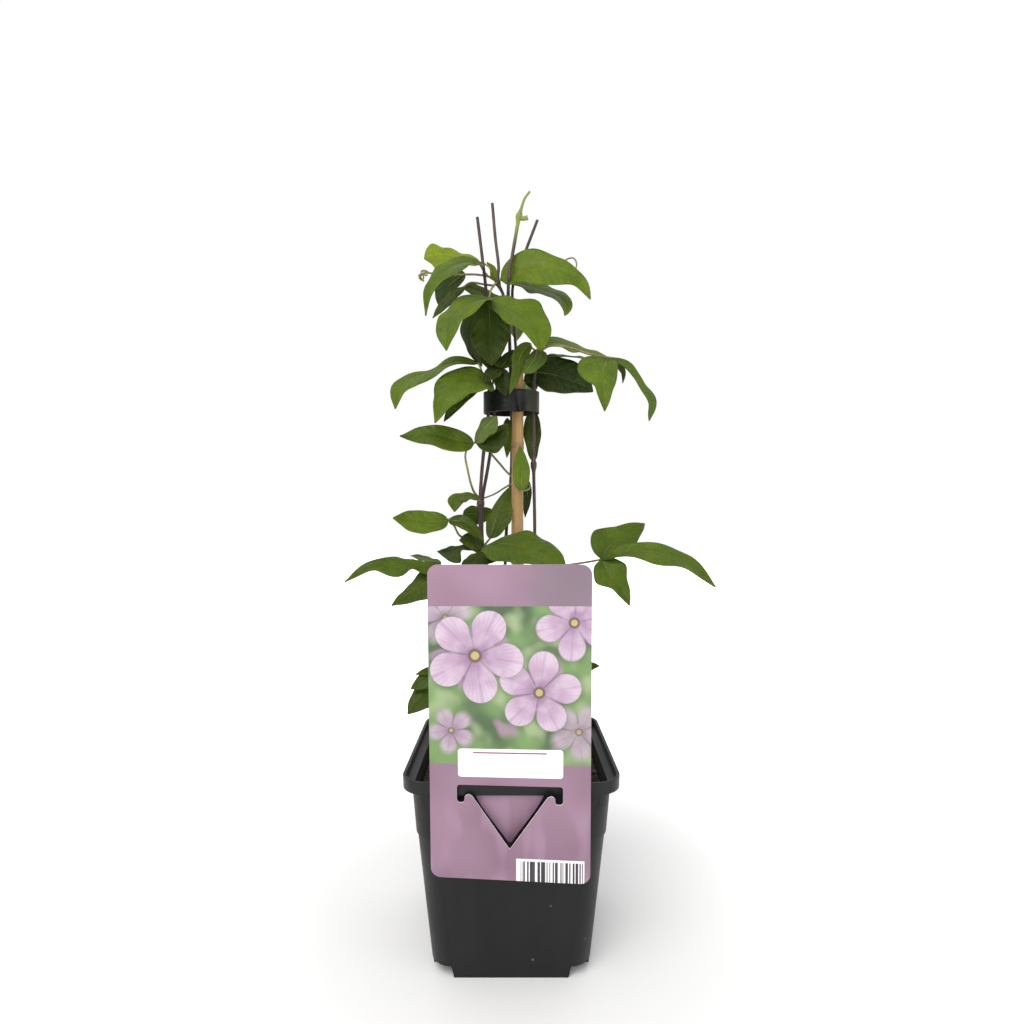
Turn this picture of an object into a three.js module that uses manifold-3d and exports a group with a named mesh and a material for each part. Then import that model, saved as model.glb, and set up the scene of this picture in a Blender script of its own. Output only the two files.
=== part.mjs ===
// A young climbing clematis in a square nursery pot: four stems with their compound leaves,
// tied to a bamboo cane with black tape, standing in soil, with a card label hooked on the rim.
// Millimetres, +Z up, +X to the right and +Y to the back. The origin is the middle of the
// pot's underside, on the surface that the pot stands on.
import * as THREE from 'three';
import { mergeVertices } from 'three/addons/utils/BufferGeometryUtils.js';
import Module from 'manifold-3d';

const wasm = await Module();
wasm.setup();

// ---------------------------------------------------------------- driving dimensions

const CLEARANCE = 0.3; // between pieces that touch on the real thing

// pot
const POT_HEIGHT = 86;
const RIM_WIDTH = 90;
const RIM_CORNER = 11;
const BAND_HEIGHT = 5; // the stepped-out band along the rim
const BODY_TOP_WIDTH = 83;
const BODY_BOTTOM_WIDTH = 66.8;
const STEP_HEIGHT = 61; // the wall steps in here, so that stacked pots don't jam
const WIDTH_ABOVE_STEP = 79.7;
const WIDTH_BELOW_STEP = 78.9;
const BODY_CORNER = 9;
const POT_WALL = 1.3;
const FOOT_HALF = 25; // half the width of each side's foot
const FOOT_HEIGHT = 5; // how far the corners are raised over the feet
const DRAIN_RADIUS = 2.2;
const DRAIN_OFFSET = 28.4;
const CORNER_STEPS = 4;

// soil
const SOIL_TOP = 75;
const SOIL_BUMP = 1.6;

// cane
const CANE_X = 3;
const CANE_BOTTOM = 12;
const CANE_TOP = 264;
const CANE_RADIUS_BOTTOM = 3.4;
const CANE_RADIUS_TOP = 2.6;
const CANE_NODES = [104, 226]; // heights of the bamboo's joints
const CANE_NODE_SWELL = 0.35;
const CANE_SIDES = 14;

// binding tape
const TAPE_BOTTOM = 241.5;
const TAPE_HEIGHT = 10;
const TAPE_HALF_WIDTH = 13.2;
const TAPE_HALF_DEPTH = 8.6;
const TAPE_CENTRE_Y = 2;
const TAPE_THICKNESS = 0.7;
const TAPE_STEPS = 28;

// label
const LABEL_WIDTH = 63.5;
const LABEL_HEIGHT = 126.6;
const LABEL_CENTRE_X = -0.6;
const LABEL_BOTTOM = 47.4;
const LABEL_THICKNESS = 0.6;
const LABEL_CORNER = 4;
const LABEL_LEAN = 5.5; // degrees, the top towards the front
const LABEL_TWIST = 5; // degrees of yaw gained from the top edge down to the bottom edge
const SLOT_HALF_WIDTH = 21;
const SLOT_TOP = 38.9; // above the label's bottom edge
const NOTCH_DROP = 7.4; // how far the slot's ends reach below its top edge
const HOOK_DROP = 4; // the same for the hooks between the ends and the V
const TONGUE_HALF_WIDTH = 14.5;
const TONGUE_DROP = 26;

// stems and leaves
const STEM_RADIUS = 0.85;
const OLD_WOOD_RADIUS = 1.25;
const STEM_SIDES = 6;
const STEM_STEP = 9; // length of one straight facet along a stem
const STALK_RADIUS = 0.55;
const STALK_SIDES = 5;
const STALK_STEP = 5;
const BLADE_THICKNESS = 0.6;
const BLADE_ROWS = 8;
const BLADE_COLUMNS = 2;
const SCRAP = 1; // mm3, the most that may fall off where a leaf is cut clear of a stem

// ---------------------------------------------------------------- solids

const radians = THREE.MathUtils.degToRad;
const vector = ([x, y, z]) => new THREE.Vector3(x, y, z);

// A closed geometry as a manifold solid, its faces turned outwards.
function solid(geometry) {
  const bare = geometry.clone();
  for (const name of Object.keys(bare.attributes)) {
    if (name !== 'position') bare.deleteAttribute(name);
  }
  const merged = mergeVertices(bare, 1e-4);
  const vertProperties = new Float32Array(merged.attributes.position.array);
  const triVerts = new Uint32Array(merged.index.array);
  const made = new wasm.Manifold(new wasm.Mesh({ numProp: 3, vertProperties, triVerts }));
  if (made.volume() > 0) return made;
  for (let i = 0; i < triVerts.length; i += 3) {
    [triVerts[i + 1], triVerts[i + 2]] = [triVerts[i + 2], triVerts[i + 1]];
  }
  return new wasm.Manifold(new wasm.Mesh({ numProp: 3, vertProperties, triVerts }));
}

function geometryOf(body) {
  const mesh = body.getMesh();
  const geometry = new THREE.BufferGeometry();
  geometry.setAttribute('position', new THREE.BufferAttribute(mesh.vertProperties, 3));
  geometry.setIndex(new THREE.BufferAttribute(mesh.triVerts, 1));
  geometry.computeVertexNormals();
  return geometry;
}

const joined = (bodies) => bodies.reduce((sum, body) => sum.add(body));

function box(low, high) {
  const [a, b] = [vector(low), vector(high)];
  const size = b.clone().sub(a);
  const middle = a.add(b).multiplyScalar(0.5);
  return solid(new THREE.BoxGeometry(size.x, size.y, size.z).translate(...middle.toArray()));
}

// A closed skin over a row of rings that have equally many points, with a fan at each end.
function loft(rings) {
  const count = rings[0].length;
  const points = rings.flat();
  const faces = [];
  for (let r = 0; r < rings.length - 1; r += 1) {
    for (let i = 0; i < count; i += 1) {
      const a = r * count + i;
      const b = r * count + ((i + 1) % count);
      faces.push(a, b, b + count, a, b + count, a + count);
    }
  }
  for (const [ring, first] of [[rings[0], 0], [rings.at(-1), (rings.length - 1) * count]]) {
    const middle = new THREE.Vector3();
    for (const point of ring) middle.addScaledVector(point, 1 / count);
    points.push(middle);
    for (let i = 0; i < count; i += 1) {
      const [a, b] = [first + i, first + ((i + 1) % count)];
      faces.push(points.length - 1, ...(first === 0 ? [b, a] : [a, b]));
    }
  }
  const geometry = new THREE.BufferGeometry().setFromPoints(points);
  geometry.setIndex(faces);
  return solid(geometry);
}

// A tube along a smooth curve through the points.
function tube(points, radius, sides, step) {
  const path = new THREE.CatmullRomCurve3(points.map(vector));
  const section = new THREE.Shape();
  for (let i = 0; i < sides; i += 1) {
    const angle = (2 * Math.PI * i) / sides;
    section[i ? 'lineTo' : 'moveTo'](radius * Math.cos(angle), radius * Math.sin(angle));
  }
  const steps = Math.max(3, Math.round(path.getLength() / step));
  const extrudePath = path;
  return solid(new THREE.ExtrudeGeometry(section, { steps, extrudePath, bevelEnabled: false }));
}

// ---------------------------------------------------------------- pot and soil

function squareRing(width, corner, height) {
  const points = [];
  const reach = width / 2 - corner;
  for (let quarter = 0; quarter < 4; quarter += 1) {
    for (let i = 0; i <= CORNER_STEPS; i += 1) {
      const angle = (Math.PI / 2) * (quarter + i / CORNER_STEPS);
      const middle = Math.PI / 4 + (Math.PI / 2) * quarter;
      const x = Math.sign(Math.cos(middle)) * reach + corner * Math.cos(angle);
      const y = Math.sign(Math.sin(middle)) * reach + corner * Math.sin(angle);
      points.push(new THREE.Vector3(x, y, height));
    }
  }
  return points;
}

const LEDGE_HEIGHT = POT_HEIGHT - BAND_HEIGHT;

function bodyWidth(height) {
  if (height < STEP_HEIGHT) {
    const rise = height / STEP_HEIGHT;
    return BODY_BOTTOM_WIDTH + (WIDTH_BELOW_STEP - BODY_BOTTOM_WIDTH) * rise;
  }
  const rise = (height - STEP_HEIGHT) / (LEDGE_HEIGHT - STEP_HEIGHT);
  return WIDTH_ABOVE_STEP + (BODY_TOP_WIDTH - WIDTH_ABOVE_STEP) * rise;
}

// The pot's outer form, brought in by inset all round and lifted off the floor by inset.
function potForm(inset, ledge, top) {
  const bodyRing = (height) => (
    squareRing(bodyWidth(height) - 2 * inset, BODY_CORNER - inset, height)
  );
  const bandRing = (height) => squareRing(RIM_WIDTH - 2 * inset, RIM_CORNER - inset, height);
  const step = [bodyRing(STEP_HEIGHT - 0.5), bodyRing(STEP_HEIGHT + 0.5)];
  let form = loft([bodyRing(inset), ...step, bodyRing(ledge), bandRing(ledge), bandRing(top)]);
  for (const [sx, sy] of [[1, 1], [1, -1], [-1, 1], [-1, -1]]) {
    const inner = FOOT_HALF - inset;
    const xs = [inner * sx, BODY_TOP_WIDTH * sx].sort((a, b) => a - b);
    const ys = [inner * sy, BODY_TOP_WIDTH * sy].sort((a, b) => a - b);
    form = form.subtract(box([xs[0], ys[0], -1], [xs[1], ys[1], FOOT_HEIGHT + inset]));
  }
  return form;
}

function potSolid() {
  const outside = potForm(0, LEDGE_HEIGHT, POT_HEIGHT);
  const inside = potForm(POT_WALL, LEDGE_HEIGHT + POT_WALL, POT_HEIGHT + 1);
  let pot = outside.subtract(inside);
  for (const [sx, sy] of [[1, 1], [1, -1], [-1, 1], [-1, -1]]) {
    const hole = new THREE.CylinderGeometry(DRAIN_RADIUS, DRAIN_RADIUS, 2 * FOOT_HEIGHT, 12);
    hole.rotateX(Math.PI / 2).translate(sx * DRAIN_OFFSET, sy * DRAIN_OFFSET, FOOT_HEIGHT);
    pot = pot.subtract(solid(hole));
  }
  const slitBack = -RIM_WIDTH / 2 + POT_WALL + 1.5;
  const slitHalf = TONGUE_HALF_WIDTH + 3;
  const slitLow = [LABEL_CENTRE_X - slitHalf, -RIM_WIDTH / 2 + POT_WALL, LEDGE_HEIGHT - 1];
  const slitHigh = [LABEL_CENTRE_X + slitHalf, slitBack, LEDGE_HEIGHT + 2];
  return pot.subtract(box(slitLow, slitHigh));
}

// The soil's top: rings that close in on the middle, raised and lowered by sums of waves.
function soilSolid(standing) {
  const inset = POT_WALL + CLEARANCE;
  const lift = ({ x, y }) => (
    Math.sin(0.31 * x + 1.3) * Math.cos(0.27 * y) + 0.6 * Math.sin(0.63 * y - 0.41 * x)
    + 0.5 * Math.cos(0.83 * x + 0.52 * y)
  );
  const edge = squareRing(bodyWidth(SOIL_TOP) - 2 * inset, BODY_CORNER - inset, SOIL_TOP);
  const rings = [edge];
  for (const share of [0.86, 0.66, 0.46, 0.26, 0.1]) {
    rings.push(edge.map((point) => {
      const moved = new THREE.Vector3(point.x * share, point.y * share, SOIL_TOP);
      moved.z += SOIL_BUMP * (0.6 + lift(moved));
      return moved;
    }));
  }
  const floorRing = edge.map((point) => point.clone().setZ(0));
  const top = loft([floorRing, ...rings]);
  const room = potForm(inset, LEDGE_HEIGHT, POT_HEIGHT);
  return standing.reduce((left, piece) => left.subtract(piece), room.intersect(top));
}

// ---------------------------------------------------------------- cane, tape and label

function caneSolid(extra) {
  const radiusAt = (height) => {
    const share = (height - CANE_BOTTOM) / (CANE_TOP - CANE_BOTTOM);
    return extra + CANE_RADIUS_BOTTOM + (CANE_RADIUS_TOP - CANE_RADIUS_BOTTOM) * share;
  };
  const profile = [new THREE.Vector2(0, CANE_BOTTOM - extra)];
  profile.push(new THREE.Vector2(radiusAt(CANE_BOTTOM), CANE_BOTTOM - extra));
  for (const node of CANE_NODES) {
    profile.push(new THREE.Vector2(radiusAt(node), node - 2));
    profile.push(new THREE.Vector2(radiusAt(node) + CANE_NODE_SWELL, node));
    profile.push(new THREE.Vector2(radiusAt(node), node + 1.5));
  }
  profile.push(new THREE.Vector2(radiusAt(CANE_TOP), CANE_TOP + extra));
  profile.push(new THREE.Vector2(0, CANE_TOP + extra));
  const turned = new THREE.LatheGeometry(profile, CANE_SIDES);
  return solid(turned.rotateX(Math.PI / 2).translate(CANE_X, 0, 0));
}

function tapeSolid() {
  const oval = (halfWidth, halfDepth) => {
    const curve = new THREE.EllipseCurve(0, TAPE_CENTRE_Y, halfWidth, halfDepth);
    return curve.getPoints(TAPE_STEPS).slice(0, -1);
  };
  const shape = new THREE.Shape(oval(TAPE_HALF_WIDTH, TAPE_HALF_DEPTH));
  const inner = oval(TAPE_HALF_WIDTH - TAPE_THICKNESS, TAPE_HALF_DEPTH - TAPE_THICKNESS);
  shape.holes.push(new THREE.Path(inner));
  const loop = new THREE.ExtrudeGeometry(shape, { depth: TAPE_HEIGHT, bevelEnabled: false });
  const ring = solid(loop.translate(0, 0, TAPE_BOTTOM));
  // the two ends, pinched flat in front of the cane and folded to one side
  const front = TAPE_CENTRE_Y - TAPE_HALF_DEPTH;
  const fold = new THREE.Shape([
    new THREE.Vector2(CANE_X - 4, TAPE_HEIGHT),
    new THREE.Vector2(CANE_X - 2.6, -0.6),
    new THREE.Vector2(CANE_X + 2.4, -0.9),
    new THREE.Vector2(CANE_X + 4.8, TAPE_HEIGHT - 1.2),
  ]);
  const ends = new THREE.ExtrudeGeometry(fold, { depth: 2 * TAPE_THICKNESS, bevelEnabled: false });
  ends.rotateX(Math.PI / 2).translate(0, front + 0.9, TAPE_BOTTOM);
  return ring.add(solid(ends));
}

// The back face of the card, which leans forwards and turns its lower right corner out.
function cardBack(x, height) {
  const bandFace = -RIM_WIDTH / 2 - CLEARANCE;
  const lean = Math.tan(radians(LABEL_LEAN)) * (height - LEDGE_HEIGHT);
  const fromTop = (LABEL_BOTTOM + LABEL_HEIGHT - height) / LABEL_HEIGHT;
  const turn = Math.tan(radians(LABEL_TWIST * fromTop));
  const fromLeft = x - LABEL_CENTRE_X + LABEL_WIDTH / 2;
  return bandFace - lean - turn * fromLeft;
}

function cardOutline() {
  const [half, r] = [LABEL_WIDTH / 2, LABEL_CORNER];
  const shape = new THREE.Shape();
  shape.absarc(half - r, r, r, -Math.PI / 2, 0);
  for (const height of [25, 45, 65, 85, 105]) shape.lineTo(half, height);
  shape.absarc(half - r, LABEL_HEIGHT - r, r, 0, Math.PI / 2);
  shape.absarc(r - half, LABEL_HEIGHT - r, r, Math.PI / 2, Math.PI);
  for (const height of [105, 85, 65, 45, 25]) shape.lineTo(-half, height);
  shape.absarc(r - half, r, r, Math.PI, 1.5 * Math.PI);
  return shape;
}

// The slot, its rounded end notches, the hooks beside them and the V below.
function slotOutline() {
  const notch = 1.9;
  const side = (s) => [
    [s * SLOT_HALF_WIDTH, SLOT_TOP - 0.8],
    [s * SLOT_HALF_WIDTH, SLOT_TOP - NOTCH_DROP + 1],
    [s * (SLOT_HALF_WIDTH - 1), SLOT_TOP - NOTCH_DROP],
    [s * (SLOT_HALF_WIDTH - notch), SLOT_TOP - NOTCH_DROP],
    [s * (SLOT_HALF_WIDTH - notch - 1.5), SLOT_TOP - HOOK_DROP - 0.6],
    [s * (SLOT_HALF_WIDTH - notch - 2.8), SLOT_TOP - HOOK_DROP],
    [s * (SLOT_HALF_WIDTH - notch - 4.4), SLOT_TOP - HOOK_DROP - 1],
  ];
  const points = [
    [-SLOT_HALF_WIDTH + 0.8, SLOT_TOP], ...side(-1),
    [0, SLOT_TOP - TONGUE_DROP], ...side(1).reverse(), [SLOT_HALF_WIDTH - 0.8, SLOT_TOP],
  ];
  return new THREE.Path(points.map(([x, y]) => new THREE.Vector2(x, y)));
}

function labelSolid() {
  const shape = cardOutline();
  shape.holes.push(slotOutline());
  const options = { depth: LABEL_THICKNESS, bevelEnabled: false, curveSegments: 5 };
  const card = new THREE.ExtrudeGeometry(shape, options);
  const place = card.attributes.position;
  for (let i = 0; i < place.count; i += 1) {
    const x = place.getX(i) + LABEL_CENTRE_X;
    const z = place.getY(i) + LABEL_BOTTOM;
    place.setXYZ(i, x, cardBack(x, z) - place.getZ(i), z);
  }
  // the tongue: over the rim, down behind the band, through the slit and along the wall
  const hinge = POT_HEIGHT + CLEARANCE + LABEL_THICKNESS;
  const behind = -RIM_WIDTH / 2 + POT_WALL + CLEARANCE;
  const tip = LABEL_BOTTOM + SLOT_TOP - TONGUE_DROP;
  const lean = Math.tan(radians(LABEL_LEAN));
  const stations = [
    [null, hinge, TONGUE_HALF_WIDTH + 1],
    [-RIM_WIDTH / 2 + 0.3, hinge + 0.2, TONGUE_HALF_WIDTH + 0.6],
    [behind + 0.35, hinge - 0.1, TONGUE_HALF_WIDTH + 0.2],
    [behind + 0.2, hinge - 1.6, TONGUE_HALF_WIDTH - 0.6],
    [behind + 0.2, LEDGE_HEIGHT - 1, TONGUE_HALF_WIDTH - 1.6],
    [behind + 0.2 + lean * (LEDGE_HEIGHT - tip), tip, 0.5],
  ];
  const rings = stations.map(([y, z, half], index) => {
    const flat = index < 2;
    const corner = (side, outer) => {
      const x = LABEL_CENTRE_X + side * half;
      const place = new THREE.Vector3(x, y === null ? cardBack(x, z) - LABEL_THICKNESS / 2 : y, z);
      if (flat && !outer) place.z -= LABEL_THICKNESS;
      if (!flat && outer) place.y += LABEL_THICKNESS;
      return place;
    };
    return [corner(-1, false), corner(1, false), corner(1, true), corner(-1, true)];
  });
  return solid(card).add(loft(rings));
}

// ---------------------------------------------------------------- stems

// Each stem's centre line, from its foot in the soil to its tip.
const OLD_WOOD = [[-10, -3, 56], [-10, -3, 76], [-11, -3, 110], [-13.5, -2, 160], [-14.5, 0, 199]];
const STEM_PATHS = {
  left_front: [
    [-14.5, 0, 197], [-14.5, -1, 203], [-13, -1, 223], [-11, 0.5, 239], [-10.5, 0.5, 250],
    [-11.5, 0, 280.5], [-12, 0, 299.5], [-13.5, 0, 313], [-16, 0, 333.5],
  ],
  left_back: [
    [-14.5, 0, 197], [-13.5, 2, 203], [-10, 2, 223], [-7.5, 1, 247], [-5, 1, 273.5],
    [-3.5, 1, 296], [-6.5, 1, 303.5], [-6, 1, 310], [-7.5, 1, 323.5], [-9, 1, 340.5],
  ],
  middle: [
    [-4, 5, 56], [-4, 5, 76], [-3.5, 6, 130], [-2.5, 7, 184], [0, 7, 215], [0, 6.5, 248],
    [-0.5, 5, 266], [-1, 3, 281], [-1.5, -2, 294], [-1, -9, 303], [0.5, -8, 312.5],
    [3, -6, 328], [3.5, -6, 332],
  ],
  middle_twig: [[3.5, -6, 331], [5, -6, 336], [6, -6, 339], [8.5, -6, 342.5]],
  middle_bud: [[3.5, -6, 331], [5.5, -6, 330], [7.5, -6, 330.5]],
  back: [
    [3, 8, 56], [3, 8, 76], [4, 7.5, 160], [4.5, 7, 215], [3.5, 7.5, 248], [2, 7.5, 275.5],
    [0.5, 7.5, 296], [1, 8, 305.5], [7, 7, 321], [12.5, 6, 335],
  ],
  right: [
    [9, 0, 56], [9, 0, 76], [10, -1, 130], [11, 0, 184], [10.5, 0, 216], [10.5, 0.5, 233.5],
    [10.5, 1, 250], [12, 0, 270],
  ],
};
// The swollen joints where leaves grow from a stem: place and radius.
const STEM_JOINTS = {
  left: [[-7, 0.5, 303.5, 1.7], [-14.5, 0, 199, 1.9], [-11, 0.5, 257, 1.3], [-12.5, -2.3, 179, 1.8]],
  middle: [[3.5, -6, 331, 1.5], [7.5, -6, 330.5, 1.2]],
  back: [],
  right: [[10.7, 0, 217, 1.6], [12, 0, 269, 1.5], [10.8, -0.3, 170, 1.4]],
};

function stemSolid(parts, joints, extra) {
  const pieces = parts.map(([path, radius]) => {
    const foot = [path[0][0], path[0][1], path[0][2] - extra];
    return tube([foot, ...path.slice(1)], radius + extra, STEM_SIDES, STEM_STEP);
  });
  for (const [x, y, z, radius] of joints) {
    const knot = new THREE.SphereGeometry(radius + extra, 7, 5);
    pieces.push(solid(knot.rotateX(Math.PI / 2).translate(x, y, z)));
  }
  return joined(pieces);
}

function stems(extra) {
  const leftParts = [
    [OLD_WOOD, OLD_WOOD_RADIUS], [STEM_PATHS.left_front, STEM_RADIUS],
    [STEM_PATHS.left_back, STEM_RADIUS],
  ];
  const middleParts = [
    [STEM_PATHS.middle, STEM_RADIUS], [STEM_PATHS.middle_twig, STEM_RADIUS],
    [STEM_PATHS.middle_bud, STALK_RADIUS],
  ];
  return {
    stem_left: stemSolid(leftParts, STEM_JOINTS.left, extra),
    stem_middle: stemSolid(middleParts, STEM_JOINTS.middle, extra),
    stem_back: stemSolid([[STEM_PATHS.back, STEM_RADIUS]], STEM_JOINTS.back, extra),
    stem_right: stemSolid([[STEM_PATHS.right, STEM_RADIUS]], STEM_JOINTS.right, extra),
  };
}

// ---------------------------------------------------------------- leaves

// A leaflet's blade: an egg-shaped outline on a bent midrib. midrib holds places from its stalk
// to its tip, halves half its width to either side at each place between those two, face is the
// way its upper side looks, and fold lifts both halves, in degrees.
const blade = (midrib, halves, face, fold) => ({ midrib, halves, face, fold });

// How an egg-shaped blade narrows towards its stalk and its tip, at a share u of its length.
const envelope = (u) => u ** 0.55 * (1 - u) ** 0.85;

// Half a blade's width at a share u of its length, to the side 0 or 1.
function halfWidths(places, halves) {
  const runs = [0];
  for (let i = 1; i < places.length; i += 1) {
    runs.push(runs[i - 1] + places[i].distanceTo(places[i - 1]));
  }
  const stops = halves.map((pair, i) => {
    const share = runs[i + 1] / runs[runs.length - 1];
    return { share, full: pair.map((half) => half / envelope(share)) };
  });
  return (u, side) => {
    let full = stops[u < stops[0].share ? 0 : stops.length - 1].full[side];
    for (let i = 1; i < stops.length; i += 1) {
      const [before, after] = [stops[i - 1], stops[i]];
      if (u >= before.share && u <= after.share) {
        const t = (u - before.share) / (after.share - before.share);
        const step = after.full[side] - before.full[side];
        full = before.full[side] + step * t * t * (3 - 2 * t);
      }
    }
    return Math.max(0.35, full * envelope(u));
  };
}

function bladeSolid({ midrib, halves, face, fold }) {
  const places = midrib.map(vector);
  const chord = places[places.length - 1].clone().sub(places[0]).normalize();
  const upper = vector(face);
  upper.addScaledVector(chord, -upper.dot(chord)).normalize();
  const curve = new THREE.CatmullRomCurve3(places, false, 'centripetal');
  const halfWidth = halfWidths(places, halves);
  const width = 2 * Math.max(...halves.flat());
  const points = [];
  for (const side of [0.5, -0.5]) {
    for (let row = 0; row <= BLADE_ROWS; row += 1) {
      const u = row / BLADE_ROWS;
      const centre = curve.getPointAt(u);
      const tangent = curve.getTangentAt(u);
      const across = tangent.clone().cross(upper).normalize();
      const normal = across.clone().cross(tangent).normalize();
      for (let column = 0; column <= BLADE_COLUMNS; column += 1) {
        const v = (2 * column) / BLADE_COLUMNS - 1;
        const half = halfWidth(u, v > 0 ? 1 : 0);
        const wave = 0.045 * width * Math.sin(2.5 * Math.PI * u + (v > 0 ? 1 : 0)) * v * v;
        const rise = Math.abs(v) * half * Math.sin(radians(fold)) + wave * (1 - u) * u * 4;
        const point = centre.clone().addScaledVector(across, v * half * Math.cos(radians(fold)));
        point.addScaledVector(normal, rise + side * BLADE_THICKNESS);
        points.push(point);
      }
    }
  }
  const stride = BLADE_COLUMNS + 1;
  const lower = (BLADE_ROWS + 1) * stride;
  const faces = [];
  for (let row = 0; row < BLADE_ROWS; row += 1) {
    for (let column = 0; column < BLADE_COLUMNS; column += 1) {
      const a = row * stride + column;
      const [b, c, d] = [a + 1, a + stride + 1, a + stride];
      faces.push(a, b, c, a, c, d);
      faces.push(a + lower, c + lower, b + lower, a + lower, d + lower, c + lower);
    }
  }
  const rim = [];
  for (let column = 0; column < BLADE_COLUMNS; column += 1) rim.push(column);
  for (let row = 0; row < BLADE_ROWS; row += 1) rim.push(row * stride + BLADE_COLUMNS);
  for (let column = BLADE_COLUMNS; column > 0; column -= 1) {
    rim.push(BLADE_ROWS * stride + column);
  }
  for (let row = BLADE_ROWS; row > 0; row -= 1) rim.push(row * stride);
  for (let i = 0; i < rim.length; i += 1) {
    const [a, b] = [rim[i], rim[(i + 1) % rim.length]];
    faces.push(b, a, a + lower, b, a + lower, b + lower);
  }
  const geometry = new THREE.BufferGeometry().setFromPoints(points);
  geometry.setIndex(faces);
  return solid(geometry);
}

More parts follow.
